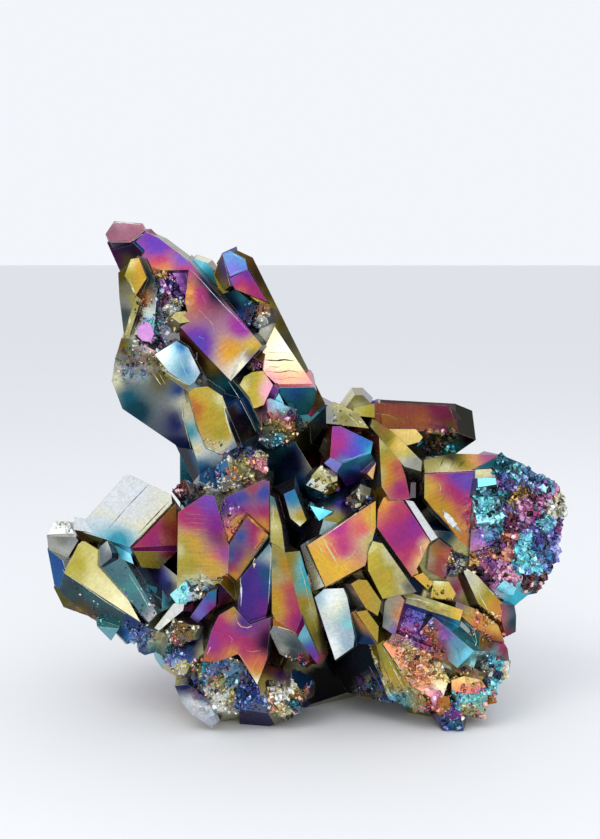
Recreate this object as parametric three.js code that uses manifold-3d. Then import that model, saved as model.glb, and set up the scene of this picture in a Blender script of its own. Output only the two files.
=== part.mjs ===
// Titanium aura quartz cluster: one intergrown group of quartz crystals on its broken root,
// about 44 mm wide, 42 mm tall and 25 mm deep, standing on the flat underside of that root.
//
// Millimetres. X runs to the viewer's right, Y away from the viewer and Z up, and the origin is
// on the resting plane under the middle of the root. Three kinds of solid are joined into one body:
//   point  a six-sided crystal with its pyramid, placed by its foot and its tip
//   block  a crystal or a chip placed by the outline of its broad front face
//   lump   a chipped piece of the root, placed by its middle
import * as THREE from "three";
import { ConvexGeometry } from "three/addons/geometries/ConvexGeometry.js";
import { mergeVertices } from "three/addons/utils/BufferGeometryUtils.js";
import Module from "manifold-3d";

const wasm = await Module();
wasm.setup();

const SIDES = 6; // faces round a quartz prism, and as many on its pyramid
const RHOMB_ANGLE = THREE.MathUtils.degToRad(38.2); // how far a pyramid face's normal rises above the girdle
const GOLDEN_TURN = Math.PI * (3 - Math.sqrt(5)); // turn from one chip of a lump to the next
const CHIP_SHAKE = 0.3; // how far a chip's direction strays upwards or downwards
const RESTING_PLANE = 0; // height of the flat underside
const WELD = 1e-4; // corners of one solid nearer than this are the same
const SMALLEST_EDGE = 0.003; // corners of the finished skin nearer than this are the same

const vec = (p) => new THREE.Vector3(...p);

// ------------------------------------------------ solids from planes

// One half space: everything behind the plane through `through` that faces along `normal`.
function plane(normal, through) {
  const n = normal.clone().normalize();
  return { n, d: n.dot(through) };
}

// Every corner where three planes meet and no other plane cuts it off.
function cornersOf(planes) {
  const corners = [];
  for (let i = 0; i < planes.length; i++)
    for (let j = i + 1; j < planes.length; j++)
      for (let k = j + 1; k < planes.length; k++) {
        const [a, b, c] = [planes[i], planes[j], planes[k]];
        const bc = b.n.clone().cross(c.n);
        const det = a.n.dot(bc);
        if (Math.abs(det) < 1e-6) continue;
        const at = bc
          .multiplyScalar(a.d)
          .add(c.n.clone().cross(a.n).multiplyScalar(b.d))
          .add(a.n.clone().cross(b.n).multiplyScalar(c.d))
          .divideScalar(det);
        if (planes.some((p) => p.n.dot(at) > p.d + WELD)) continue;
        const same = corners.find((q) => q.distanceTo(at) < WELD * 4);
        if (!same) corners.push(at);
      }
  return corners;
}

// A solid from a closed three.js geometry, its corners shared between faces.
function solidFrom(geometry) {
  geometry.deleteAttribute("normal");
  geometry.deleteAttribute("uv");
  const welded = mergeVertices(geometry, WELD);
  return new wasm.Manifold(
    new wasm.Mesh({
      numProp: 3,
      vertProperties: new Float32Array(welded.attributes.position.array),
      triVerts: new Uint32Array(welded.index.array),
    }),
  );
}

// The convex solid that all the planes enclose.
const convex = (planes) => solidFrom(new ConvexGeometry(cornersOf(planes)));

// ------------------------------------------------ the three kinds of solid

// A quartz point. `facing` is where its first prism face looks, `deep` its thickness that way and
// `wide` its width across. `cap` moves each of the six pyramid faces out along the axis.
function point({ foot, tip, wide, deep, facing, cap }) {
  const [start, end] = [vec(foot), vec(tip)];
  const axis = end.clone().sub(start).normalize();
  const front = vec(facing).projectOnPlane(axis).normalize();
  const side = axis.clone().cross(front);
  const middle = start.clone().lerp(end, 0.5);
  const planes = [plane(axis.clone().negate(), start)];
  for (let i = 0; i < SIDES; i++) {
    const turn = (i * 2 * Math.PI) / SIDES;
    const out = front.clone().multiplyScalar(Math.cos(turn)).addScaledVector(side, Math.sin(turn));
    const reach = (i % 3 === 0 ? deep : wide * Math.sin(Math.PI / 3)) / 2;
    planes.push(plane(out, middle.clone().addScaledVector(out, reach)));
    const rhomb = out.multiplyScalar(Math.cos(RHOMB_ANGLE)).addScaledVector(axis, Math.sin(RHOMB_ANGLE));
    planes.push(plane(rhomb, end.clone().addScaledVector(axis, cap[i])));
  }
  return convex(planes);
}

// A block behind its front face. `outline` holds the face's corners as [x, z], anticlockwise seen from
// the front, `y` is the face's depth at `at`, or at its middle, and `turn` how fast it recedes to the
// right and upwards. Each side spreads by `flare` for every millimetre back, and from halfway on it
// closes in by `tuck`.
function block({ outline, y, at, turn = [0, 0], deep, flare = 0.1, tuck }) {
  const count = outline.length;
  const meanOf = (axis) => outline.reduce((sum, corner) => sum + corner[axis], 0) / count;
  const [midX, midZ] = at ?? [meanOf(0), meanOf(1)];
  const normal = new THREE.Vector3(turn[0], -1, turn[1]).normalize();
  const depthAt = (x, z) => y + turn[0] * (x - midX) + turn[1] * (z - midZ);
  const corners = outline.map(([x, z]) => new THREE.Vector3(x, depthAt(x, z), z));
  const planes = [
    plane(normal, corners[0]),
    plane(normal.clone().negate(), corners[0].clone().addScaledVector(normal, -deep)),
  ];
  corners.forEach((corner, i) => {
    const out = corners[(i + 1) % count].clone().sub(corner).cross(normal).normalize();
    const slope = Array.isArray(flare) ? flare[i] : flare;
    planes.push(plane(out.clone().addScaledVector(normal, slope), corner));
    if (tuck === undefined) return;
    const halfway = corner.clone().addScaledVector(out, (slope * deep) / 2);
    halfway.addScaledVector(normal, -deep / 2);
    planes.push(plane(out.clone().addScaledVector(normal, -tuck), halfway));
  });
  return convex(planes);
}

// Evenly strewn directions, shaken by a small seeded generator, so that the same seed gives the same chips.
function shaken(seed) {
  let state = seed * 7919 + 17;
  return () => {
    state = (state * 16807) % 2147483647;
    return state / 2147483647;
  };
}

// A chipped lump of the root: an ellipsoid with half-axes `size` under `chips` flat breaks, each of them
// sunk into it by up to `rough` of its reach.
function lump({ at, size, seed, chips = 11, rough = 0.22 }) {
  const random = shaken(seed);
  const middle = vec(at);
  const planes = [];
  for (let i = 0; i < chips; i++) {
    const up = 1 - (2 * (i + 0.5)) / chips;
    const turn = i * GOLDEN_TURN + random() * 0.9;
    const ring = Math.sqrt(1 - up * up);
    const rise = up + (random() - 0.5) * CHIP_SHAKE;
    const out = new THREE.Vector3(ring * Math.cos(turn), ring * Math.sin(turn), rise).normalize();
    const reach = Math.hypot(out.x * size[0], out.y * size[1], out.z * size[2]);
    planes.push(plane(out, middle.clone().addScaledVector(out, reach * (1 - rough * random()))));
  }
  return convex(planes);
}

const solids = [];
function add(name, make, spec) {
  const solid = make(spec);
  if (solid.isEmpty()) throw new Error(`${name} encloses nothing`);
  solids.push(solid);
}

// ------------------------------------------------ the tall leaning crystal

// Broad front face, its side turned a little to the left and up, and the flank under it.
add("leaning face top", block, {
  outline: [[-14.9, 40.3], [-13.6, 37.9], [-9.8, 38], [-9.9, 38.7], [-12.6, 40.7], [-13.7, 41.2]],
  at: [-9, 35], y: 0, turn: [-0.05, 0.12], deep: 3.5, flare: 0.12,
});
add("leaning face middle", block, {
  outline: [[-10, 34], [-5.9, 34.2], [-9.9, 38.7], [-10.3, 35.3]],
  at: [-9, 35], y: 0, turn: [-0.05, 0.12], deep: 3.5, flare: 0.12,
});
add("leaning face foot", block, {
  outline: [[-6.4, 28.6], [-3.7, 31.6], [-5.9, 34.2], [-10, 34.3], [-11.4, 33.9], [-9.1, 31.4]],
  at: [-9, 35], y: 0, turn: [-0.05, 0.12], deep: 3.5, flare: 0.12,
});
add("hollow floor", block, {
  outline: [[-14.5, 33], [-12, 30.5], [-8.5, 31.5], [-9.3, 38], [-13.9, 38.4]],
  y: 1.5, deep: 2.5, flare: 0,
});
add("hollow rim", block, {
  outline: [[-12.9, 33.6], [-12.2, 33.3], [-12.4, 37.9], [-13.3, 38], [-13.6, 35.8]],
  y: 0.2, turn: [-0.2, 0], deep: 2.5, flare: 0.2,
});
add("hollow lip", block, {
  outline: [[-11.4, 34], [-10.7, 33.5], [-9.9, 33.6], [-9.6, 34.1], [-10.3, 34.5], [-11.1, 34.4]],
  y: -0.1, turn: [0.3, 0.5], deep: 1.6, flare: 0.5,
});
add("leaning flank", block, {
  outline: [
    [-10.9, 33.3], [-9.9, 24], [-8.6, 20.8], [-3.4, 23.8],
    [-4.9, 27], [-6.3, 28.7], [-9.1, 31.6],
  ],
  y: 0.3, turn: [-0.35, -0.25], deep: 5,
});
add("leaning tip", block, {
  outline: [[-16.6, 40.3], [-14.9, 40.3], [-13.7, 41.3], [-13.9, 41.9], [-16.4, 42.1], [-17.1, 41]],
  y: 0.9, turn: [-0.1, 0.5], deep: 3.5, flare: 0.05,
});
add("leaning tip underside", block, {
  outline: [[-16, 37.7], [-14.3, 38.3], [-13.9, 39.5], [-14.8, 40.4], [-17.1, 40.3]],
  y: 1.2, turn: [-0.5, -0.3], deep: 3,
});
add("leaning shoulder", block, {
  outline: [
    [-15.6, 32.4], [-13, 32.5], [-12.6, 36.5], [-13.6, 38.9],
    [-14.4, 39.2], [-15.2, 38.5], [-16.1, 37.8], [-16, 35.6],
  ],
  y: 0.5, turn: [-0.35, 0.1], deep: 4,
});
add("shoulder facet", block, {
  outline: [[-15.4, 37.5], [-14.4, 35.9], [-13.5, 37.3], [-14.2, 39], [-14.9, 38.9]],
  y: 0, turn: [-0.1, 0.3], deep: 1.6,
});
add("shoulder ridge", block, {
  outline: [[-15.7, 31.9], [-15.2, 32], [-14, 35.5], [-14.4, 35.8]],
  y: -0.2, turn: [-0.2, 0], deep: 1.6,
});
add("lower face", block, {
  outline: [
    [-15.8, 26.1], [-11, 22.6], [-9, 22.3], [-7.5, 24.5], [-8.8, 28.5],
    [-11.7, 30.6], [-14.9, 32.3], [-15.6, 32.3], [-16.2, 30.5], [-16.6, 28.6],
  ],
  y: -0.3, turn: [0, -0.2], deep: 4, flare: [0.22, 0.1, 0, 0, 0, 0, 0, 0, 0, 0],
});
add("pale facets", block, {
  outline: [[-11.7, 29.5], [-9.7, 28.1], [-9, 29.3], [-10, 31.4], [-11, 32], [-12.8, 30.9]],
  y: -0.9, turn: [0.2, 0.2], deep: 2.5, flare: 0.4,
});
add("rose facet", block, {
  outline: [
    [-13.9, 32], [-13.2, 31.9], [-12.9, 32.6], [-13.2, 33.5],
    [-13.8, 33.7], [-14.3, 33.1], [-14.3, 32.4],
  ],
  y: -0.5, turn: [0, 0.1], deep: 1.6,
});
add("gold point", block, {
  outline: [
    [-8.3, 23.2], [-6.9, 22.6], [-5.5, 23.5], [-7, 27.6],
    [-8.2, 28.4], [-9.3, 28.3], [-9.8, 27.9], [-8.9, 24.6],
  ],
  y: -3.3, turn: [0.1, 0.05], deep: 4.5, flare: 0.12,
});
add("gold point flank", block, {
  outline: [
    [-8.9, 20.6], [-6, 21.8], [-5.4, 23.6], [-6.6, 26.5],
    [-9.6, 27.3], [-10.3, 26.6], [-10.3, 25.4],
  ],
  y: -2.6, turn: [-0.3, -0.1], deep: 4,
});

// ------------------------------------------------ the second tall crystal

add("second body", block, {
  outline: [[-3.5, 24.5], [0.6, 25.2], [1.7, 26.3], [-4.6, 39], [-5.9, 39.6], [-7.3, 39.3], [-8, 37.5]],
  y: 2.4, turn: [0.05, 0.05], deep: 3.6, flare: 0, tuck: 0.3,
});
add("second top face", block, {
  outline: [[-6.5, 37.4], [-5, 38], [-5.2, 38.9], [-6.5, 39.6], [-7.2, 39.3]],
  y: 1.5, turn: [0.1, 0.35], deep: 3,
});
add("second upper face", block, {
  outline: [[-6.1, 36.3], [-3.3, 35.2], [-5, 38], [-6.6, 37.4]],
  y: 1.4, turn: [0.05, 0], deep: 3,
});
add("second left face", block, {
  outline: [[-7.9, 37.5], [-7, 36.2], [-6.5, 36.6], [-7.2, 39.4]],
  y: 1.6, turn: [-0.7, 0], deep: 2,
});
add("navy waist", block, {
  outline: [[-7.2, 35.9], [-4.9, 33.2], [-4.3, 34.8], [-6, 36.3]],
  y: 1.2, turn: [-0.4, 0.2], deep: 2,
});
add("broken waist", lump, { at: [-3.8, 1.5, 34.1], size: [0.9, 1.2, 1.2], seed: 3 });
add("banded face", block, {
  outline: [[-3.6, 29.2], [-2.4, 28.1], [0.7, 28.1], [-2.7, 33.1], [-3.7, 31], [-3.9, 30.3]],
  y: 0.6, turn: [0.1, 0.3], deep: 3, flare: 0,
});
add("teal end face", block, {
  outline: [
    [-1.4, 26.2], [-0.5, 25.4], [0.2, 25.5], [0.7, 26.4],
    [0.95, 27.6], [0.7, 28], [-2.3, 28], [-2.2, 27.4],
  ],
  y: 0.3, turn: [0.1, -0.45], deep: 3, flare: 0,
});
add("pink end face", block, {
  outline: [[-3.7, 26.4], [-3, 26.3], [-2.3, 27.9], [-2.7, 28.2], [-3.4, 27.4]],
  y: 0, turn: [-0.4, -0.2], deep: 2,
});
add("cyan end face", block, {
  outline: [[-2.9, 26.5], [-1.6, 26], [-2.3, 27.5]],
  y: -0.1, turn: [0, -0.3], deep: 2,
});
add("olive block", block, {
  outline: [
    [-5.8, 28], [-5, 26.5], [-4.4, 26.2], [-3.6, 26.5],
    [-2.8, 28.2], [-3.7, 29.4], [-4.6, 29.3], [-5.3, 28.9],
  ],
  y: -0.3, turn: [0, 0.1], deep: 3,
});
add("olive lump", lump, { at: [-2.4, 0.8, 24.6], size: [2.1, 2, 1.8], seed: 5 });
add("pocket lump", lump, { at: [-4.3, 0.9, 30.2], size: [0.9, 1, 1], seed: 8 });
add("leaning back", point, {
  foot: [-6.4, 3, 22], tip: [-15, 3, 41], wide: 5.4, deep: 5.6,
  facing: [0, 1, 0], cap: [-2.4, 0.4, -0.4, -1, 0, 0.4],
});
add("lower back", point, {
  foot: [-6, 4, 19], tip: [-13.6, 4.2, 31], wide: 5.2, deep: 5.2,
  facing: [0, 1, 0], cap: [-2, 0.4, -0.6, -1, 0, 0.4],
});
add("second back", point, {
  foot: [-0.9, 5, 22], tip: [-6.4, 4.8, 37.7], wide: 3.2, deep: 4.2,
  facing: [0, 1, 0], cap: [-2, 0.3, -0.6, 0, -0.6, 0.3],
});
add("sliver between", block, {
  outline: [[-9.6, 37], [-7.8, 35.8], [-7.6, 37.2], [-8.5, 38.5], [-9.6, 38.9], [-10.2, 38.6]],
  y: 2.8, deep: 3,
});
add("brown post", block, { outline: [[-11.5, 15], [-8, 15], [-8, 26], [-11.4, 26]], y: 6, deep: 3.5 });

// ------------------------------------------------ the ledge of rubble under the tall crystals

add("ledge 1", lump, { at: [-9.6, -3.4, 19.3], size: [1.5, 1.5, 0.9], seed: 11 });
add("ledge 2", lump, { at: [-8, -3.2, 20.2], size: [1.5, 1.6, 1], seed: 12 });
add("ledge 3", lump, { at: [-6.3, -3.3, 20.9], size: [1.6, 1.6, 1.3], seed: 13 });
add("ledge 4", lump, { at: [-4.7, -3, 21.6], size: [1.5, 1.5, 1.5], seed: 14 });

// ------------------------------------------------ the left crystals

add("white block", block, {
  outline: [[-19, 16.8], [-14.4, 15.7], [-11.1, 18.9], [-11.2, 19.5], [-14.7, 20.9], [-15.2, 20.9]],
  y: -5, turn: [-0.1, 0.75], deep: 3.5,
});
add("white block end", block, {
  outline: [[-14.1, 15.1], [-10.7, 14.9], [-10.8, 18.8], [-14.3, 15.7]],
  at: [-14.3, 15.7], y: -6.9, turn: [0.55, 0.06], deep: 3,
});
add("white block foot", block, {
  outline: [[-13.6, 13.7], [-12.2, 13.4], [-10.7, 14.9], [-14.1, 15.3]],
  y: -6.2, turn: [0.4, -0.5], deep: 2.5,
});
add("white block underside", block, {
  outline: [[-18.6, 15.6], [-16.9, 14.6], [-14.4, 15.3], [-14.4, 16.1], [-19.1, 16.9]],
  y: -5.6, turn: [-0.1, -0.8], deep: 1.2,
});
add("left gold face", block, {
  outline: [[-20, 13.3], [-13.6, 9.1], [-16.9, 14.8], [-18.5, 15.8], [-18.9, 15.5]],
  at: [-20, 13.3], y: -6.3, turn: [0.1, 0.3], deep: 4.5,
});
add("left dark face", block, {
  outline: [[-20.5, 11], [-17.5, 8.5], [-14.5, 8.1], [-13.4, 9], [-20, 13.3], [-20.7, 11.6]],
  at: [-20, 13.3], y: -6.3, turn: [-0.46, -0.55], deep: 3,
});
add("left tip top", block, {
  outline: [[-21.6, 16.1], [-19.2, 16], [-19.9, 17.2], [-21.2, 17.1]],
  y: -4.6, turn: [0, 0.6], deep: 3,
});
add("left tip middle", block, {
  outline: [[-21.4, 14.9], [-20, 14], [-18.9, 15.8], [-19.1, 16.1], [-21.6, 16.1]],
  y: -5.3, turn: [-0.2, -0.1], deep: 3,
});
add("left tip low", block, {
  outline: [[-21.1, 11.9], [-20.6, 11.6], [-19.9, 13.2], [-20.2, 14.2], [-21.6, 15]],
  y: -5.4, turn: [-0.7, -0.1], deep: 3,
});
add("left underside", block, {
  outline: [[-21.2, 11.6], [-20.6, 9.6], [-17.4, 8.4], [-15, 8.3], [-19, 12.5]],
  y: -4.6, turn: [-0.3, -0.6], deep: 3.5,
});
add("speckled crystal", block, {
  outline: [
    [-16.9, 14], [-13, 9.2], [-12.3, 9.9], [-14.9, 14.3],
    [-15.9, 15.9], [-16.3, 16.1], [-16.8, 15.6],
  ],
  y: -6.6, turn: [0.15, 0.15], deep: 3, flare: 0.25,
});
add("speckled crystal cap", block, {
  outline: [[-16.9, 14], [-15.9, 14.8], [-15.9, 15.2], [-16.3, 16.1], [-16.9, 15.6]],
  y: -7.1, turn: [-0.4, 0.3], deep: 2,
});
add("pale shard", block, {
  outline: [[-15.2, 14.5], [-14.2, 14], [-14.8, 16], [-15.8, 15.9]],
  y: -6.4, turn: [0.3, 0.2], deep: 2,
});
add("copper crumb 1", lump, { at: [-19.6, -4.6, 8.6], size: [0.9, 0.9, 0.7], seed: 21 });
add("pocket facet 1", block, {
  outline: [[-12.1, 9.6], [-11, 10], [-11.1, 12.6], [-11.5, 13.4], [-12, 12.4]],
  y: -4.8, turn: [0.3, 0.1], deep: 3,
});
add("pocket facet 2", block, {
  outline: [[-13.9, 12.4], [-12.6, 11], [-12.4, 12.4], [-13.4, 13.8]],
  y: -4.6, turn: [-0.2, 0.2], deep: 3,
});
add("left underside mass 1", lump, { at: [-14.4, -3.8, 8.1], size: [2.4, 2.4, 1.4], seed: 23 });
add("left underside mass 2", lump, { at: [-12.8, -3.6, 7.6], size: [1.8, 2.4, 1.9], seed: 24 });
add("cyan chip", block, {
  outline: [[-17.4, 8.6], [-16.3, 7.3], [-15.6, 8.4]],
  y: -6, turn: [0, -0.2], deep: 2,
});

// ------------------------------------------------ the fan of faces left of the middle

add("ribbed face", block, {
  outline: [[-10.6, 12], [-6.4, 13.4], [-6.3, 15.6], [-7.5, 19.8], [-8.3, 19.9], [-10.5, 18.4]],
  y: -7, turn: [-0.1, 0.08], deep: 6, flare: 0.1,
});
add("chevron face", block, {
  outline: [[-6.8, 15], [-3, 15], [-3, 20.9], [-3.6, 21], [-6.6, 19.6], [-7.2, 18]],
  y: -6.5, turn: [0.05, 0.1], deep: 5,
});
add("chevron point", block, {
  outline: [[-6.4, 13.5], [-5.7, 12.9], [-4.2, 15], [-3.1, 16.6], [-4.8, 18.2], [-6.3, 15.8]],
  y: -7.2, turn: [0.05, 0.05], deep: 3, flare: 0.35,
});
add("violet tongue", block, {
  outline: [
    [-5.7, 9.5], [-5.3, 8.8], [-4.4, 8.8], [-3.4, 9.5], [-2.9, 12],
    [-2.7, 15.4], [-3, 16], [-4, 14.8], [-5.3, 13.2],
  ],
  y: -7.6, turn: [0.05, 0], deep: 3, flare: 0.3,
});
add("long blade", block, {
  outline: [[-2.8, 10.2], [-2.3, 9.1], [-0.5, 8.1], [-0.25, 9.3], [-1.75, 15.4], [-2.8, 16]],
  y: -7.4, turn: [0.15, 0], deep: 4,
});
add("long blade top", block, {
  outline: [[-2.9, 15], [-1.7, 15], [-2, 17.4], [-2.6, 19.6], [-2.95, 19.8]],
  y: -6.9, turn: [0, 0.2], deep: 4,
});
add("long blade side", block, {
  outline: [[-1.7, 15.2], [-0.3, 9.2], [1, 5.6], [1.9, 6.4], [-0.5, 15.2]],
  y: -6.9, turn: [0.5, 0.1], deep: 3,
});
add("long blade end", block, {
  outline: [[-0.7, 8.2], [0.9, 5.6], [1.15, 6.2], [-0.1, 9.4]],
  y: -7.4, turn: [0.2, -0.3], deep: 2,
});
add("small gold tip", block, {
  outline: [[-0.5, 16.9], [0.05, 17.4], [-0.95, 20], [-1.85, 19.6], [-1.3, 17.6]],
  y: -5, turn: [0.1, 0.1], deep: 3, flare: 0.2,
});
add("blue sliver", block, {
  outline: [[-9.6, 9.6], [-9, 9.1], [-7.4, 10.8], [-7.3, 12.3], [-8, 12]],
  y: -7.4, turn: [-0.2, -0.3], deep: 3,
});
add("plum chip", block, {
  outline: [[-7.4, 10.3], [-5.8, 11.2], [-7, 12.7]],
  y: -7.2, turn: [-0.1, -0.4], deep: 3,
});
add("grey ledge 1", lump, { at: [-9.6, -6.4, 11.6], size: [1.3, 1.2, 0.8], seed: 31 });
add("grey ledge 2", lump, { at: [-8, -6.4, 12.6], size: [1.3, 1.2, 0.6], seed: 32 });
add("pale splinter", block, {
  outline: [[-12.6, 8.6], [-12.2, 8.4], [-10.2, 10.1], [-10, 11], [-11, 10.6]],
  y: -6.4, turn: [-0.2, 0.3], deep: 3,
});

// ------------------------------------------------ the left foot

add("magenta fang left", block, {
  outline: [[-8.4, 6.5], [-7.6, 6.3], [-5.6, 7], [-4.4, 9.2], [-5.9, 10.9], [-7.1, 10.2], [-7.7, 9]],
  at: [-5.5, 7.8], y: -8.4, turn: [0.02, 0.1], deep: 4,
});
add("magenta fang right", block, {
  outline: [[-4, 4.5], [-3.2, 6.6], [-2.9, 10], [-4.6, 9.4], [-5.7, 7.3]],
  at: [-5.5, 7.8], y: -8.4, turn: [0.02, 0.1], deep: 4,
});
add("left foot 1", lump, { at: [-10.3, -5.2, 6.2], size: [2.5, 2.8, 2.3], seed: 41, chips: 15 });
add("left foot 2", lump, { at: [-6.9, -5, 3.9], size: [3.5, 3.4, 4.3], seed: 42, chips: 17 });
add("left foot 3", lump, { at: [-3.8, -5, 2.3], size: [2.3, 2.9, 3], seed: 43, chips: 15 });
add("left foot 4", lump, { at: [-2.8, -6.6, 3], size: [1, 1.3, 1.3], seed: 44 });
add("left foot 6", lump, { at: [-0.8, -6.2, 3.4], size: [1.1, 1.3, 1.4], seed: 46 });
add("left foot 7", lump, { at: [-1.4, -6.2, 1.7], size: [1, 1.2, 0.8], seed: 47 });
add("left foot 9", lump, { at: [-10.2, -6.4, 8.3], size: [1.4, 1.5, 0.9], seed: 49 });
add("bare chip", block, {
  outline: [[-7.9, 0.35], [-7.1, 1.1], [-7.9, 3], [-9.7, 4.4], [-10.8, 4.2], [-10.3, 2.7], [-9.6, 1.6]],
  y: -7.9, turn: [-0.15, -0.3], deep: 3,
});
add("dark wedge", block, {
  outline: [[-2.2, 6.3], [0.1, 4.8], [1.1, 5.6], [-0.6, 8.2], [-2.7, 9.3], [-3, 8.6]],
  y: -6.8, turn: [0, -0.6], deep: 3,
});

// ------------------------------------------------ the middle

add("purple roof", block, {
  outline: [[2, 22.6], [2.9, 22.1], [5.4, 22.9], [5.6, 23.8], [2.9, 25.1], [2.2, 25.1]],
  at: [2.9, 22.1], y: -4.6, turn: [0.1, 0.35], deep: 4,
});
add("blue wall", block, {
  outline: [[2.6, 21.3], [3.4, 20], [4.3, 20.2], [5.7, 22.3], [5.4, 22.9], [2.9, 22.1]],
  at: [2.9, 22.1], y: -4.6, turn: [0.38, -0.5], deep: 3.5,
});
add("violet chip", block, {
  outline: [[1.5, 22.1], [2.5, 21.3], [3, 22.1], [2, 22.6]],
  y: -4.5, turn: [-0.3, -0.2], deep: 2,
});
add("olive boulder", lump, { at: [1.4, -3.2, 20.4], size: [1.7, 1.6, 1.2], seed: 61, chips: 14 });
add("orange chip", block, {
  outline: [[5.1, 21.2], [5.6, 20.7], [5.85, 22.1]],
  y: -4.2, turn: [0.4, 0], deep: 2,
});
add("gold saddle", block, {
  outline: [[6.3, 20.2], [7, 19.1], [8.7, 19.1], [8.3, 21], [7.9, 22.2], [6.1, 24.2]],
  y: -4.3, turn: [0.25, 0.25], deep: 4,
});
add("saddle back", block, {
  outline: [[5.4, 25], [8.2, 21.8], [9.6, 21.4], [9.7, 22.2], [7.2, 24.6], [5.6, 25.6]],
  y: -3.4, turn: [0.1, 0.5], deep: 3,
});
add("saddle bar", block, {
  outline: [[8.7, 19.1], [9.2, 19.1], [9.2, 20.4], [8.8, 20.4]],
  y: -4, turn: [0.3, 0], deep: 2,
});
add("olive shoulder", block, {
  outline: [[1.7, 25.3], [5.3, 24.8], [4.4, 26], [2.4, 27], [1.7, 26.6]],
  y: -2.6, turn: [0.2, 0.5], deep: 5,
});
add("cyan wedge", block, {
  outline: [[0.3, 18.4], [1.1, 17.1], [2.3, 17.9]],
  y: -3.8, turn: [0, 0.2], deep: 3,
});
add("olive crumb 1", lump, { at: [4.6, -3.6, 19.1], size: [1.3, 1.2, 0.9], seed: 62 });
add("banded block", block, {
  outline: [[1.6, 12.3], [4.9, 13.9], [5.8, 16.9], [5.8, 19], [0.1, 15.6]],
  y: -6, turn: [0.1, 0.3], deep: 4.5,
});
add("banded block side", block, {
  outline: [[0.6, 11.6], [1.7, 12.4], [0.1, 15.8], [-0.5, 15.3]],
  y: -6, turn: [-0.8, 0], deep: 3,
});
add("magenta block", block, {
  outline: [[5.9, 16.8], [8.9, 12.6], [9.6, 13.9], [10.4, 15.5], [8.2, 19.1], [6.5, 19.2], [6, 18.2]],
  y: -4.6, turn: [0.15, 0.2], deep: 4.5, flare: [0.3, 0.1, 0.1, 0.1, 0.1, 0.1, 0.1],
});
add("magenta block edge", block, {
  outline: [[8.3, 19], [10.5, 15.5], [11.1, 15.7], [9, 18.8]],
  y: -4.2, turn: [0.7, 0.5], deep: 2,
});
add("pale window", block, {
  outline: [[0.7, 11.2], [2.4, 6.2], [3.9, 7.3], [4, 8.1], [3.4, 11.3], [3.1, 12], [1.5, 11.9]],
  y: -6.9, turn: [-0.1, 0.2], deep: 4.5,
});
add("big gold face", block, {
  outline: [[5.1, 13.6], [6.3, 11.3], [9.1, 11.8], [6.3, 15.7], [5.5, 15.9], [5.1, 15]],
  y: -6.6, turn: [0.1, 0.25], deep: 4.5,
});
add("gold finger 1", block, {
  outline: [[3.7, 12.6], [4.9, 10.6], [5.9, 9.9], [6.2, 11], [5, 12.8], [4.3, 12.9]],
  y: -7.2, turn: [0.25, 0.2], deep: 3.5, flare: [0.35, 0.2, 0.1, 0.1, 0.1, 0.1],
});
add("gold finger 2", block, {
  outline: [[4.1, 10.2], [5.9, 7.6], [6, 8.9], [5, 10.3]],
  y: -7.2, turn: [0.25, 0.2], deep: 3.5,
});
add("gold finger 2 side", block, {
  outline: [[3.4, 9.8], [4.2, 7.3], [5.8, 7.4], [4.1, 10.3]],
  y: -6.9, turn: [-0.5, -0.2], deep: 3,
});

// ------------------------------------------------ the crystal behind, pointing right

add("far top face", block, {
  outline: [[5.8, 24.7], [13.1, 24], [12.5, 26.3], [5.9, 26.5]],
  y: 0.4, turn: [0, 0.6], deep: 4, flare: 0,
});
add("far end face", block, {
  outline: [[13.1, 24], [13.7, 23.5], [14.6, 23.3], [14.3, 24], [12.9, 25.9], [12.5, 26.2]],
  y: 0.8, turn: [0.8, 0.4], deep: 3, flare: 0,
});
add("far underside", block, {
  outline: [[8.6, 22.6], [10.5, 21.7], [13, 21.9], [14.7, 23.4], [13.1, 24.1], [6.5, 24.5]],
  y: 0.3, turn: [0, -0.8], deep: 3.5, flare: 0,
});
add("far yellow face", block, {
  outline: [[6.6, 24], [7.3, 23.4], [8.3, 23], [9.7, 23.4], [10, 23.8], [9.4, 24.5], [7.1, 24.5]],
  y: -1.2, turn: [0, 0.1], deep: 3,
});
add("far crumb 1", block, {
  outline: [[3.4, 26.2], [5.3, 25.6], [5.6, 26.6], [4.9, 27.3], [4.2, 27.3]],
  y: 0, deep: 3,
});
add("far crumb 2", block, {
  outline: [[4, 25.6], [5.9, 25.4], [5.9, 26.6], [4.1, 26.2]],
  y: -0.4, turn: [0, 0.3], deep: 3,
});

// ------------------------------------------------ the right block and its broken side

add("right top face", block, {
  outline: [[10, 21.1], [14, 21.3], [16.4, 22.4], [12.3, 22.5], [10, 22]],
  y: -2.4, turn: [0, 1], deep: 3,
});
add("right front face", block, {
  outline: [[10, 18.9], [10.8, 17.9], [14.1, 14], [14.3, 21.2], [10, 21.2]],
  y: -3, turn: [0.05, 0.05], deep: 5, flare: [0.2, 0.3, 0, 0, 0],
});
add("broken side", block, {
  outline: [
    [13.8, 13], [16.3, 10.6], [17.6, 9.5], [20.2, 11.5], [21, 12.9], [21.8, 16],
    [22.1, 18], [21.8, 19], [19.8, 20.7], [18.4, 21.7], [16.5, 22.5], [14.2, 21.3],
  ],
  y: -2.7, turn: [0.15, 0.1], deep: 5, flare: 0,
});
add("teal bay", block, {
  outline: [[14.2, 14.9], [16.2, 15.4], [16.7, 17.6], [16.4, 20.3], [15.6, 21.4], [14.3, 21.3]],
  y: -3.2, turn: [-0.1, 0.05], deep: 2, flare: 0.3,
});
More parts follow.
